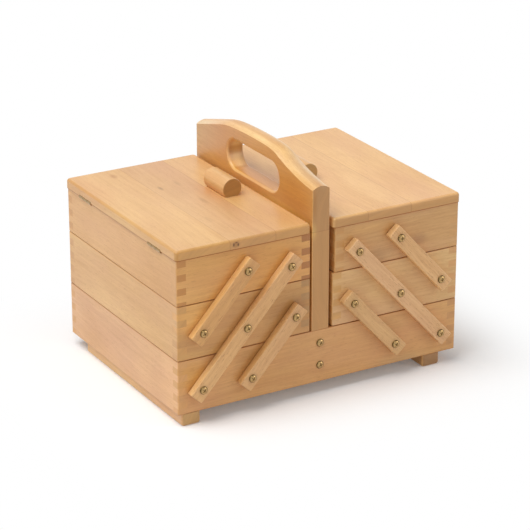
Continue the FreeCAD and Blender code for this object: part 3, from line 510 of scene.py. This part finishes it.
def plywood_material(name, seed):
    """Thin birch plywood under the same satin lacquer, a little duller.

    The peeled face veneer has wide wavy contours, like the height lines of low hills a
    third of a metre long and 90 mm wide, and fine fibres along it, drawn in bundles.
    """
    look = bpy.context.scene.sewing_box_wood
    material, tree = new_material(name)
    shift = tuple(np.random.default_rng(seed).uniform(*FIGURE_START, 3))
    place = add_node(tree, "ShaderNodeTexCoord")
    slow = add_node(tree, "ShaderNodeMapping", {
        "Vector": place.outputs["Object"], "Location": shift, "Scale": VENEER_HILLS})
    hills = add_node(tree, "ShaderNodeTexNoise", {
        "Vector": slow.outputs[0], "Scale": 1.0, "Detail": 2.0, "Roughness": 0.4})
    contour = add_node(tree, "ShaderNodeMath", {0: hills.outputs[0], 1: VENEER_CONTOURS},
                       operation="MULTIPLY")
    bands = add_node(tree, "ShaderNodeMath", {0: contour.outputs[0], 1: 1.0},
                     operation="PINGPONG")
    fibre = add_node(tree, "ShaderNodeMapping", {
        "Vector": place.outputs["Object"],
        "Scale": (1 / look.fibre_width, 1 / look.fibre_length, 1 / look.fibre_width)})
    fibres = add_node(tree, "ShaderNodeTexNoise", {
        "Vector": fibre.outputs[0], "Scale": 1.0, "Detail": 3.0, "Roughness": 0.6})
    late = add_node(tree, "ShaderNodeMath", {
        0: bands.outputs[0], 1: 0.25, 2: fibres.outputs[0]}, operation="MULTIPLY_ADD")
    strength = add_node(tree, "ShaderNodeMapRange", {
        "Value": late.outputs[0], "From Min": 0.3, "From Max": 1.0, "To Min": 0.0,
        "To Max": 0.5})
    colour = add_node(tree, "ShaderNodeMix", {
        "Factor": strength.outputs[0], 6: rgba(look.veneer), 7: rgba(look.dark)},
        data_type="RGBA")
    surface = add_node(tree, "ShaderNodeBsdfPrincipled", {
        "Base Color": colour.outputs[2], "Roughness": 0.6, "Specular IOR Level": 0.1,
        "Coat Weight": 0.6, "Coat Roughness": look.roughness + 0.08})
    add_node(tree, "ShaderNodeOutputMaterial", {"Surface": surface.outputs[0]})
    return material


def brass_material(name, bright, dull):
    """Brass plating on steel: yellow with a faint dull mottle, dark with tarnish and painted
    shade in a screw's recess, and dark with painted shade round its rim.

    Real mottle is finer than a tenth of a millimetre, too fine to show, so it is drawn
    about a millimetre wide.
    """
    look = bpy.context.scene.sewing_box_brass
    material, tree = new_material(name)
    place = add_node(tree, "ShaderNodeTexCoord")
    mottle = add_node(tree, "ShaderNodeTexNoise", {
        "Vector": place.outputs["Object"], "Scale": MOTTLES_PER_METRE, "Detail": 3.0,
        "Roughness": 0.6})
    plating = add_node(tree, "ShaderNodeMix", {
        "Factor": mottle.outputs[0], 6: rgba(bright), 7: rgba(dull)}, data_type="RGBA")
    tarnish_and_shade_share = add_node(tree, "ShaderNodeAttribute", attribute_name="tarnish_and_shade")
    colour = add_node(tree, "ShaderNodeMix", {
        "Factor": tarnish_and_shade_share.outputs["Fac"], 6: plating.outputs[2], 7: rgba(look.tarnish_and_shade)},
        data_type="RGBA")
    rough = add_node(tree, "ShaderNodeMapRange", {
        "Value": mottle.outputs[0], **MOST_OF_NOISE, "To Min": look.roughness - 0.06,
        "To Max": look.roughness + 0.1})
    surface = add_node(tree, "ShaderNodeBsdfPrincipled", {
        "Base Color": colour.outputs[2], "Metallic": 1.0, "Roughness": rough.outputs[0]})
    add_node(tree, "ShaderNodeOutputMaterial", {"Surface": surface.outputs[0]})
    return material


def dress(node, material):
    """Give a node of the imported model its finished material."""
    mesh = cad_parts[node].data
    mesh.materials.clear()
    mesh.materials.append(material)


def dress_wood(node):
    """Finish a wooden piece; walls and lids get painted shade where they meet the next tier."""
    bottom, top = (corner[2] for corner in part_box(node))
    shaded_heights, gap_shade_strength = (), 0.0
    if node.endswith(("_front_wall", "_back_wall")):
        shaded_heights, gap_shade_strength = (bottom, top), FRONT_GAP_SHADE
    elif node.endswith("_wall"):
        shaded_heights, gap_shade_strength = (bottom, top), SIDE_GAP_SHADE
    elif node.endswith("_lid"):
        shaded_heights, gap_shade_strength = (bottom,), LID_GAP_SHADE
    dress(node, wood_material(f"lacquered rubberwood {node}", CUTS[node], shaded_heights, gap_shade_strength))


def dress_plywood(node, seed):
    """Finish a plywood floor, with its own figure for each seed."""
    dress(node, plywood_material(f"lacquered birch plywood {node}", seed))


# ---------------------------------------------------------------- meshes

# Points round a screw and rings on the crown of its head.
SCREW_TURNS = 112
CROWN_RINGS = 40
# The crown falls off by this power of the share of the radius.  The chamfer under the
# head's rim, and the blunt tip of the shank, are shares of the rim and of the radii.
CROWN_POWER = 2.4
CHAMFER_HEIGHT = 0.3
CHAMFER_SHARE = 0.97
TIP_SHARE = 0.4
TIP_LENGTH = 0.5 * MM
RECESS_WALL = 0.035 * MM
# The recess starts to come up at a reach of 0.15 of its whole reach.
RECESS_SLOPE = 1.15
# Tarnish and painted shade in the recess, and painted shade round the rim from this share
# of the head's radius outward.
RECESS_TARNISH_AND_SHADE = 0.6
RIM_SHADE = 0.85
RIM_FROM = 0.72
# Each screw stopped at its own turn: this many radians on from the one before.
NEXT_TURN = 2.4
SHARP_ANGLE = math.radians(35)


def new_piece(name, points, faces, material, body):
    """A smooth mesh piece from points and faces, riding on a body."""
    mesh = bpy.data.meshes.new(name)
    mesh.from_pydata(points.tolist(), [], faces)
    mesh.polygons.foreach_set("use_smooth", np.full(len(mesh.polygons), True))
    mesh.materials.append(material)
    mesh.set_sharp_from_angle(angle=SHARP_ANGLE)
    made = bpy.data.objects.new(name, mesh)
    bpy.context.scene.collection.objects.link(made)
    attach(made, body)
    return made


def node_points(node):
    """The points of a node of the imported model, one in each row."""
    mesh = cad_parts[node].data
    points = np.zeros(len(mesh.vertices) * 3)
    mesh.vertices.foreach_get("co", points)
    return points.reshape(-1, 3)


def screw_tips(node):
    """The tops of a node's screw heads: its points furthest front or back, each once."""
    points = node_points(node)
    reach = np.abs(points[:, 1])
    return np.unique(np.round(points[reach > reach.max() - 1e-6], 5), axis=0)


def turned_points(radii, heights, turns):
    """A surface of revolution about Z, closed by a pole at each end.

    The first and last points are the poles; between them each ring has one radius and
    one height, and the angle goes once round in equal steps.
    """
    angles = np.linspace(0.0, 2 * math.pi, turns, endpoint=False)
    reach = radii[1:-1, None]
    rings = np.stack([reach * np.cos(angles), reach * np.sin(angles),
                      np.repeat(heights[1:-1, None], turns, axis=1)], axis=-1)
    first_pole = [[0.0, 0.0, heights[0]]]
    last_pole = [[0.0, 0.0, heights[-1]]]
    return np.concatenate([first_pole, rings.reshape(-1, 3), last_pole])


def turned_faces(rings, turns, first=0):
    """Faces of a surface of revolution: a fan at each pole and quads between the rings.

    first is the number of points that stand before the surface's own.
    """
    column = np.arange(turns)
    following = (column + 1) % turns
    row = np.arange(rings - 1)[:, None] * turns + 1
    quads = np.stack([row + column, row + turns + column, row + turns + following,
                      row + following], axis=-1).reshape(-1, 4)
    start = np.stack([np.zeros(turns, int), column + 1, following + 1], axis=-1)
    last = (rings - 1) * turns + 1
    end = np.stack([np.full(turns, rings * turns + 1), last + following, last + column],
                   axis=-1)
    return (quads + first).tolist() + (start + first).tolist() + (end + first).tolist()


def screw_shape(length, turn, look):
    """One pan-head screw along Z, its head up and its seat at the origin.

    The head rises over its rim by the square root of one less a power of the share of its
    radius, so that it is flat on top and steep at the side.  The cross recess lowers it by
    its depth within half its width of either arm, less toward the arms' ends, with a
    narrow slanting wall between.  The points come with how much tarnish and painted shade
    each one takes, and the number of rings.
    """
    share = np.sin(np.linspace(0.0, math.pi / 2, CROWN_RINGS))
    dome = look.head_height - look.head_rim
    crown = np.sqrt(1 - share ** CROWN_POWER) * dome + look.head_rim
    shank = look.shank_radius
    radii = np.concatenate([share * look.head_radius, [
        look.head_radius, look.head_radius * CHAMFER_SHARE, shank, shank,
        shank * TIP_SHARE, 0.0]])
    heights = np.concatenate([crown, [
        look.head_rim * CHAMFER_HEIGHT, 0.0, 0.0, TIP_LENGTH - length,
        -length, -length]])
    points = turned_points(radii, heights, SCREW_TURNS)
    across = points[:, 0] * math.cos(turn) + points[:, 1] * math.sin(turn)
    along = points[:, 1] * math.cos(turn) - points[:, 0] * math.sin(turn)
    reach = np.hypot(across, along)

    def inside(offset, limit):
        """One inside the limit and zero outside, over a narrow wall."""
        return 1 / (1 + np.exp((np.abs(offset) - limit) / RECESS_WALL))

    half = look.recess_width / 2
    cross = np.maximum(inside(across, half), inside(along, half))
    slope = np.clip(RECESS_SLOPE - reach / look.recess_reach, 0.0, 1.0) ** 0.5
    sunk = cross * slope * inside(reach, look.recess_reach) * look.recess_depth
    on_head = points[:, 2] >= look.head_rim
    points[:, 2] -= np.where(on_head, sunk, 0.0)
    rim_share = (reach / look.head_radius - RIM_FROM) / (1 - RIM_FROM)
    at_rim = np.clip(rim_share, 0.0, 1.0) * RIM_SHADE
    in_recess = sunk / look.recess_depth * RECESS_TARNISH_AND_SHADE
    tarnish_and_shade = np.where(on_head, np.maximum(in_recess, at_rim), 1.0)
    return points, tarnish_and_shade, len(radii) - 2


def make_screws(node, body, material):
    """All screws of one node as one piece, each with its own turn of the recess."""
    look = bpy.context.scene.sewing_box_brass
    reach = np.abs(node_points(node)[:, 1])
    length = reach.max() - look.head_height - reach.min()
    shapes, faces, tarnish_and_shade = [], [], []
    for index, tip in enumerate(screw_tips(node)):
        turn = (index * NEXT_TURN + len(node)) % (math.pi / 2)
        shape, tarnish_and_shade_share, rings = screw_shape(length, turn, look)
        tarnish_and_shade.append(tarnish_and_shade_share)
        side = math.copysign(1.0, tip[1])
        laid = np.stack([-side * shape[:, 0], side * shape[:, 2], shape[:, 1]], axis=-1)
        faces += turned_faces(rings, SCREW_TURNS, index * len(shape))
        shapes.append(laid + np.array([tip[0], tip[1] - side * look.head_height, tip[2]]))
    made = new_piece(f"{node}_cross_head", np.concatenate(shapes), faces, material, body)
    layer = made.data.attributes.new("tarnish_and_shade", "FLOAT", "POINT")
    layer.data.foreach_set("value", np.concatenate(tarnish_and_shade))
    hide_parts(node)


# ---------------------------------------------------------------- how each piece was cut

def arm_cuts():
    """The arms stand in pairs, front and back, cut alike from two planks."""
    left = {"grain": RISING_LEFT, "fibres": 1.7, "end": (1.05, 1.1, 1.1)}
    right = {"grain": RISING_RIGHT, "fibres": 1.9, "end": (1.3, 1.6, 1.9)}
    # Each pair: its name, its half, its first seed, its tint, and its edge tint, painted light on
    # the arm's long narrow sides.
    pairs = (
        ("left_long_arm", left, 71, (1.05, 1.05, 1.15), (1.1, 1.2, 1.3)),
        ("left_lower_arm", left, 73, (1, 1, 1.1), (1, 1.05, 1)),
        ("left_upper_arm", left, 75, (1, 0.95, 0.85), (1.1, 1.2, 1.3)),
        ("right_long_arm", right, 81, (1.1, 1.15, 1.4), (1.1, 1.2, 1.25)),
        ("right_lower_arm", right, 83, (1, 1.05, 1.1), (1.1, 1.2, 1.25)),
        ("right_upper_arm", right, 85, (1.05, 1.05, 1.2), (1.1, 1.2, 1.25)),
    )
    return {f"{arm}_{side}": plank(seed=seed, tint=tint, edge=edge, pores=0.65, **half)
            for arm, half, first, tint, edge in pairs
            for seed, side in enumerate(("front", "back"), first)}


CUTS = {
    "base_front_wall": plank(
        ALONG_X, 11, fibres=1.7, tint=(1, 0.95, 0.9), end=(1.4, 1.5, 1.55), patches=(
            (-75, -115, 56, 30, 20, 18, (0.84, 0.8, 0.72)),
            (78, -115, 54, 26, 20, 20, (0.92, 0.94, 0.92)),
            (-142, -115, 50, 28, 20, 24, (1.03, 1.01, 0.7)),
            (92, -115, 12, 48, 20, 16, (0.88, 0.92, 1.04)))),
    "base_back_wall": plank(ALONG_X, 12, fibres=1.7, end=(1.4, 1.5, 1.55)),
    "base_left_wall": plank(
        ALONG_Y, 13, fibres=1.4, tint=(1.05, 1.05, 1.3), end=(1.25, 1.3, 1.3), patches=(
            (-158, -118, 40, 55, 30, 60, (1.12, 1.15, 1.12)),
            (-158, 116, 30, 55, 30, 50, (1.14, 1.24, 1.3)),
            (-158, 5, 50, 70, 30, 60, (0.94, 0.91, 0.95)))),
    "base_right_wall": plank(ALONG_Y, 14, end=(1.2, 1.25, 1.25)),
    "left_runner": plank(ALONG_Y, 16, tint=(1.1, 1.15, 1.2), end=(1.1, 1.3, 1.3)),
    "right_runner": plank(ALONG_Y, 17, end=(0.75, 0.8, 0.85)),
    "left_middle_tray_front_wall": plank(
        ALONG_X, 21, fibres=1.1, tint=(0.9, 0.85, 0.75), end=(1.25, 1.35, 1.4), patches=(
            (-144, -115, 110, 34, 20, 30, (1.3, 1.35, 1.25)),
            (-34, -115, 96, 40, 20, 26, (0.78, 0.72, 0.68)))),
    "left_middle_tray_back_wall": plank(ALONG_X, 22, end=(1.25, 1.35, 1.4)),
    "left_middle_tray_outer_wall": plank(
        ALONG_Y, 23, fibres=1.4, tint=(1.05, 1.1, 1.15), end=(1.3, 1.4, 1.25)),
    "left_middle_tray_inner_wall": plank(ALONG_Y, 24, end=(0.95, 1.05, 1.05)),
    "left_top_tray_front_wall": plank(
        ALONG_X, 26, tint=(1.05, 0.95, 0.75), end=(1.25, 1.3, 1.25), patches=(
            (-160, -115, 146, 60, 20, 50, (1.08, 1.15, 1.25)),
            (-60, -115, 152, 60, 20, 34, (0.96, 0.92, 0.78)))),
    "left_top_tray_back_wall": plank(ALONG_X, 27, end=(1.25, 1.3, 1.25)),
    "left_top_tray_outer_wall": plank(
        ALONG_Y, 28, tint=(1.05, 1.05, 1.1), end=(1.15, 1.05, 0.75)),
    "left_top_tray_inner_wall": plank(ALONG_Y, 29, end=(0.9, 0.75, 0.55)),
    "right_middle_tray_front_wall": plank(
        ALONG_X, 31, fibres=1.4, tint=(1.05, 1.15, 1.3), end=(1.25, 1.35, 1.15), patches=(
            (70, -115, 98, 24, 20, 34, (1.12, 1.18, 1.22)),)),
    "right_middle_tray_back_wall": plank(ALONG_X, 32, fibres=1.4, end=(1.25, 1.35, 1.15)),
    "right_middle_tray_outer_wall": plank(ALONG_Y, 33, end=(1.35, 1.5, 1.6)),
    "right_middle_tray_inner_wall": plank(ALONG_Y, 34, end=(1.3, 1.45, 1.3)),
    "right_top_tray_front_wall": plank(
        ALONG_X, 36, fibres=1.8, tint=(0.95, 0.95, 1), end=(1.3, 1.35, 1.2), patches=(
            (109, -115, 140, 18, 20, 9, (0.8, 0.76, 0.78)),
            (62, -115, 132, 26, 20, 14, (0.82, 0.82, 0.82)),
            (48, -115, 164, 36, 20, 10, (1.14, 1.18, 1.15)))),
    "right_top_tray_back_wall": plank(ALONG_X, 37, fibres=1.8, end=(1.3, 1.35, 1.2)),
    "right_top_tray_outer_wall": plank(ALONG_Y, 38, end=(1.3, 1.45, 1.45)),
    "right_top_tray_inner_wall": plank(ALONG_Y, 39, end=(1.2, 1.25, 1.1)),
    # The handle board's edge tint is painted light on its domed top.  Its patches are all painted
    # light, shade and reflection: an orange painted reflection of the lid low on its left face,
    # painted light down by the lid, in the slot's back end and on the dome, and a whiter painted
    # sheen high up at the back.
    "handle_board": plank(
        ALONG_Y, 51, fibres=1.6, pith=(300, -150), tint=(0.95, 0.85, 0.65),
        end=(1.1, 1.15, 1.05), edge=(1.25, 1.5, 2),
        staves=("Z", (170.0,), ((1, 1, 1), (0.93, 0.93, 0.97))), patches=(
            (-9, -88, 199, 56, 6, 30, (0.91, 0.76, 0.4)),
            (-9, -50, 171, 110, 6, 16, (1.5, 1.85, 1.6)),
            (-9, 114, 214, 70, 6, 42, (1.0, 1.2, 1.75)),
            (0, 45, 206, 26, 8.8, 26, (1.3, 1.5, 1.5)),
            (2, -90, 226, 50, 13, 22, (1.05, 1.22, 1.7)),
            (0, 0, 238, 95, 30, 14, (1.08, 1.14, 1.26)),
            (-9, 45, 186, 80, 6, 11, (0.98, 0.94, 0.6)))),
    # The left lid's edge tint is painted shade on its rounded edges.
    "left_lid": plank(
        ALONG_Y, 61, fibres=1.0, tint=(1, 1.05, 1.15), end=(1.25, 1.35, 1.2),
        edge=(0.9, 0.85, 0.7), staves=("X", (-101.0, -51.5), (
            (1.03, 1.02, 0.98), (0.98, 0.96, 1.0), (1.0, 0.98, 0.97))), patches=(
            (-97, -116.2, 175.4, 3, 1.1, 2.8, (0.2, 0.15, 0.12)),
            (-92.3, -116.2, 174.8, 3, 1.2, 2.4, (0.2, 0.15, 0.12)),
            (-94.3, -116.2, 177.2, 3, 2.4, 1, (0.4, 0.32, 0.26)),
            (-94.6, -116.2, 175.2, 4, 6, 4.5, (0.72, 0.66, 0.6)),
            (-91.2, 41.3, 180.2, 8, 3, 3, (0.66, 0.6, 0.54)),
            (-70, 46.5, 180.2, 13, 4, 4, (0.87, 0.84, 0.8)),
            (-70.8, -9.6, 180.2, 14, 4, 4, (0.84, 0.8, 0.76)),
            (-91.5, -57.3, 180.2, 12, 4.5, 4, (0.92, 0.9, 0.88)),
            (-115.7, 95.5, 180.2, 9, 5, 4, (0.8, 0.68, 0.56)),
            (-80, 26, 180.2, 34, 16, 10, (0.94, 0.91, 0.9)),
            (-150, 78, 180.2, 80, 26, 20, (0.95, 0.88, 0.86)),
            # A painted sheen on the lid beside the board.
            (-24, 66, 180.2, 44, 16, 10, (1.03, 1.08, 1.22)))),
    "right_lid": plank(
        ALONG_Y, 62, fibres=1.2, tint=(1.1, 1.15, 1.25), end=(1.15, 1.25, 1.2),
        staves=("X", (51.5, 101.0), (
            (0.99, 0.97, 0.94), (1.01, 1.0, 1.0), (1.03, 1.02, 0.99)))),
    "left_lid_knob": plank(
        ALONG_Y, 63, tint=(1.05, 1.1, 1.15), end=(0.95, 1.05, 0.95), edge=(1.05, 1.05, 1.1)),
    "right_lid_knob": plank(ALONG_Y, 64, end=(1, 1.3, 1.4)),
    **arm_cuts(),
}
BASE_FLOOR_SEED = 15
FIRST_TRAY_FLOOR_SEED = 40


# ---------------------------------------------------------------- stage

# From the middle of the floor toward each lamp.
OVERHEAD = (-0.42, -0.02, 0.907)
FRONT_RIGHT = (0.66, -0.66, 0.35)
# The floor's rings and thickness.  It passes into the backdrop between these distances
# from the box's outline; the first lies inside it, so the change has begun at its foot.
FLOOR_RINGS = (0.5, 2.0, 8.0, 30.0)
FLOOR_DEPTH = 0.05
FLOOR_TURNS = 64
FADE_FROM = -35.0 * MM
FADE_TO = 130.0 * MM
WHITE = (1.0, 1.0, 1.0, 1.0)
SENSOR_WIDTH = 36.0
FAR_CLIP = 100.0


def seen_directly(tree):
    """One where the camera sees a surface itself, in metal or through glass, else zero."""
    path = add_node(tree, "ShaderNodeLightPath")
    mirrored = add_node(tree, "ShaderNodeMath", {
        0: path.outputs["Is Glossy Ray"], 1: path.outputs["Is Transmission Ray"]},
        operation="MAXIMUM")
    seen = add_node(tree, "ShaderNodeMath", {
        0: path.outputs["Is Camera Ray"], 1: mirrored.outputs[0]}, operation="MAXIMUM")
    return seen.outputs[0]


def build_floor(look):
    """A wide round slab under the box, a surface of revolution closed at both faces.

    It is painted board, matt and white: it gives no sheen and keeps the box's shadow.  Far
    from the box it passes into the white backdrop.
    """
    radii = np.array([0.0, *FLOOR_RINGS, FLOOR_RINGS[-1], 0.0])
    heights = np.where(np.arange(len(radii)) > len(FLOOR_RINGS), -FLOOR_DEPTH, 0.0)
    mesh = bpy.data.meshes.new("floor")
    mesh.from_pydata(turned_points(radii, heights, FLOOR_TURNS).tolist(), [],
                     turned_faces(len(radii) - 2, FLOOR_TURNS))
    material, tree = new_material("matt white floor")
    seen = seen_directly(tree)
    place = add_node(tree, "ShaderNodeTexCoord")
    sides = add_node(tree, "ShaderNodeVectorMath", {0: place.outputs["Object"]},
                     operation="ABSOLUTE")
    beyond = add_node(tree, "ShaderNodeVectorMath", {0: sides.outputs[0], 1: cad_high},
                      operation="SUBTRACT")
    outside = add_node(tree, "ShaderNodeVectorMath", {
        0: beyond.outputs[0], 1: (0.0, 0.0, 0.0)}, operation="MAXIMUM")
    away = add_node(tree, "ShaderNodeVectorMath", {0: outside.outputs[0]},
                    operation="LENGTH")
    far = add_node(tree, "ShaderNodeMapRange", {
        "Value": away.outputs["Value"], "From Min": FADE_FROM, "From Max": FADE_TO,
        "To Min": 0.0, "To Max": seen}, interpolation_type="SMOOTHSTEP")
    colour = add_node(tree, "ShaderNodeMix", {
        "Factor": seen, 6: rgba(look.floor), 7: WHITE}, data_type="RGBA")
    matt = add_node(tree, "ShaderNodeBsdfDiffuse", {"Color": colour.outputs[2]})
    glow = add_node(tree, "ShaderNodeEmission", {"Strength": 1.0})
    surface = add_node(tree, "ShaderNodeMixShader", {
        "Fac": far.outputs[0], 1: matt.outputs[0], 2: glow.outputs[0]})
    add_node(tree, "ShaderNodeOutputMaterial", {"Surface": surface.outputs[0]})
    mesh.materials.append(material)
    floor = bpy.data.objects.new("floor", mesh)
    bpy.context.scene.collection.objects.link(floor)


def build_light(look):
    """Even light all round, a large lamp overhead and a smaller one at the front right."""
    world = bpy.data.worlds.new("white studio")
    bpy.context.scene.world = world
    world.use_nodes = True
    tree = world.node_tree
    tree.nodes.clear()
    strength = add_node(tree, "ShaderNodeMix", {
        "Factor": seen_directly(tree), "A": look.fill, "B": 1.0})
    backdrop = add_node(tree, "ShaderNodeBackground", {
        "Color": WHITE, "Strength": strength.outputs[0]})
    add_node(tree, "ShaderNodeOutputWorld", {"Surface": backdrop.outputs[0]})
    hang_lamp("overhead lamp", OVERHEAD, look.key, look.lamp_size, look.lamp_distance)
    hang_lamp("side lamp", FRONT_RIGHT, look.side, look.side_size, look.lamp_distance)


def hang_lamp(name, toward, power, size, distance):
    """A round lamp off the middle of the floor toward a direction, facing back to it."""
    lamp = bpy.data.lights.new(name, "AREA")
    lamp.shape = "DISK"
    lamp.size = size
    lamp.energy = power
    made = bpy.data.objects.new(name, lamp)
    made.location = Vector(toward).normalized() * distance
    made.rotation_euler = Vector(toward).to_track_quat("Z", "Y").to_euler()
    bpy.context.scene.collection.objects.link(made)


def build_camera(look):
    """The camera stands off its aim point by its azimuth, elevation and distance."""
    aim = Vector((look.aim_right, 0.0, look.aim_height))
    flat = math.cos(look.elevation)
    back = Vector((math.sin(look.azimuth) * flat, -math.cos(look.azimuth) * flat,
                   math.sin(look.elevation)))
    data = bpy.data.cameras.new("camera")
    data.lens = look.lens
    data.sensor_width = SENSOR_WIDTH
    data.clip_end = FAR_CLIP
    camera = bpy.data.objects.new("camera", data)
    camera.location = aim + back * look.distance
    camera.rotation_euler = back.to_track_quat("Z", "Y").to_euler()
    bpy.context.scene.collection.objects.link(camera)
    bpy.context.scene.camera = camera


# ---------------------------------------------------------------- operators

class SEWINGBOX_OT_carcass(bpy.types.Operator):
    """Finish the base box and its runners"""
    bl_idname = "sewingbox.carcass"
    bl_label = "Base Box"

    def execute(self, context):
        for node in CUTS:
            if node.startswith("base_") or node.endswith("_runner"):
                dress_wood(node)
        dress_plywood("base_floor", BASE_FLOOR_SEED)
        return {"FINISHED"}


class SEWINGBOX_OT_trays(bpy.types.Operator):
    """Finish the four trays"""
    bl_idname = "sewingbox.trays"
    bl_label = "Trays"

    def execute(self, context):
        for node in CUTS:
            if "_tray_" in node:
                dress_wood(node)
        for seed, tray in enumerate(TRAYS, FIRST_TRAY_FLOOR_SEED):
            dress_plywood(f"{tray}_floor", seed)
        return {"FINISHED"}


class SEWINGBOX_OT_board(bpy.types.Operator):
    """Finish the handle board"""
    bl_idname = "sewingbox.board"
    bl_label = "Handle Board"

    def execute(self, context):
        dress_wood("handle_board")
        return {"FINISHED"}


class SEWINGBOX_OT_lids(bpy.types.Operator):
    """Finish the lids and their knobs"""
    bl_idname = "sewingbox.lids"
    bl_label = "Lids and Knobs"

    def execute(self, context):
        for half in HALVES:
            dress_wood(f"{half}_lid")
            dress_wood(f"{half}_lid_knob")
        return {"FINISHED"}


class SEWINGBOX_OT_arms(bpy.types.Operator):
    """Finish the folding arms"""
    bl_idname = "sewingbox.arms"
    bl_label = "Arms"

    def execute(self, context):
        for node in CUTS:
            if "_arm_" in node:
                dress_wood(node)
        return {"FINISHED"}


class SEWINGBOX_OT_screws(bpy.types.Operator):
    """Build the cross-head screws of the arms and of the handle board"""
    bl_idname = "sewingbox.screws"
    bl_label = "Screws"

    def execute(self, context):
        look = context.scene.sewing_box_brass
        plated = brass_material("brass plated steel screws", look.bright, look.dull)
        make_screws("base_arm_screws", "box", plated)
        make_screws("handle_board_screws", "box", plated)
        for tray in TRAYS:
            make_screws(f"{tray}_arm_screws", tray, plated)
        return {"FINISHED"}


class SEWINGBOX_OT_hinges(bpy.types.Operator):
    """Finish the lid hinges"""
    bl_idname = "sewingbox.hinges"
    bl_label = "Hinges"

    def execute(self, context):
        look = context.scene.sewing_box_brass
        pressed = brass_material("pressed brass hinges", look.hinge, look.hinge_dull)
        for half in HALVES:
            for part in ("tray_leaves", "lid_leaves", "pins"):
                dress(f"{half}_hinge_{part}", pressed)
        return {"FINISHED"}


class SEWINGBOX_OT_stage(bpy.types.Operator):
    """Set the floor, the light and the camera"""
    bl_idname = "sewingbox.stage"
    bl_label = "Stage"

    def execute(self, context):
        look = context.scene.sewing_box_stage
        build_floor(look)
        build_light(look)
        build_camera(look)
        context.scene.view_settings.view_transform = "Standard"
        return {"FINISHED"}


class SEWINGBOX_PT_panel(bpy.types.Panel):
    """Buttons for each group of pieces"""
    bl_idname = "SEWINGBOX_PT_panel"
    bl_label = "Sewing Box"
    bl_space_type = "VIEW_3D"
    bl_region_type = "UI"
    bl_category = "Sewing Box"

    def draw(self, context):
        for operator in OPERATORS:
            self.layout.operator(operator.bl_idname)
        for group in SETTINGS:
            for name in group.__annotations__:
                self.layout.prop(getattr(context.scene, SETTINGS[group]), name)


SETTINGS = {
    SewingBoxWood: "sewing_box_wood",
    SewingBoxBrass: "sewing_box_brass",
    SewingBoxStage: "sewing_box_stage",
}
OPERATORS = (
    SEWINGBOX_OT_carcass,
    SEWINGBOX_OT_trays,
    SEWINGBOX_OT_board,
    SEWINGBOX_OT_lids,
    SEWINGBOX_OT_arms,
    SEWINGBOX_OT_screws,
    SEWINGBOX_OT_hinges,
    SEWINGBOX_OT_stage,
)


def register():
    for kind in (*SETTINGS, *OPERATORS, SEWINGBOX_PT_panel):
        bpy.utils.register_class(kind)
    for kind, name in SETTINGS.items():
        setattr(bpy.types.Scene, name, PointerProperty(type=kind))


def unregister():
    for name in SETTINGS.values():
        delattr(bpy.types.Scene, name)
    for kind in (SEWINGBOX_PT_panel, *reversed(OPERATORS), *reversed(SETTINGS)):
        bpy.utils.unregister_class(kind)


def main():
    register()
    for operator in OPERATORS:
        group, name = operator.bl_idname.split(".")
        getattr(getattr(bpy.ops, group), name)()


if __name__ == "__main__":
    main()
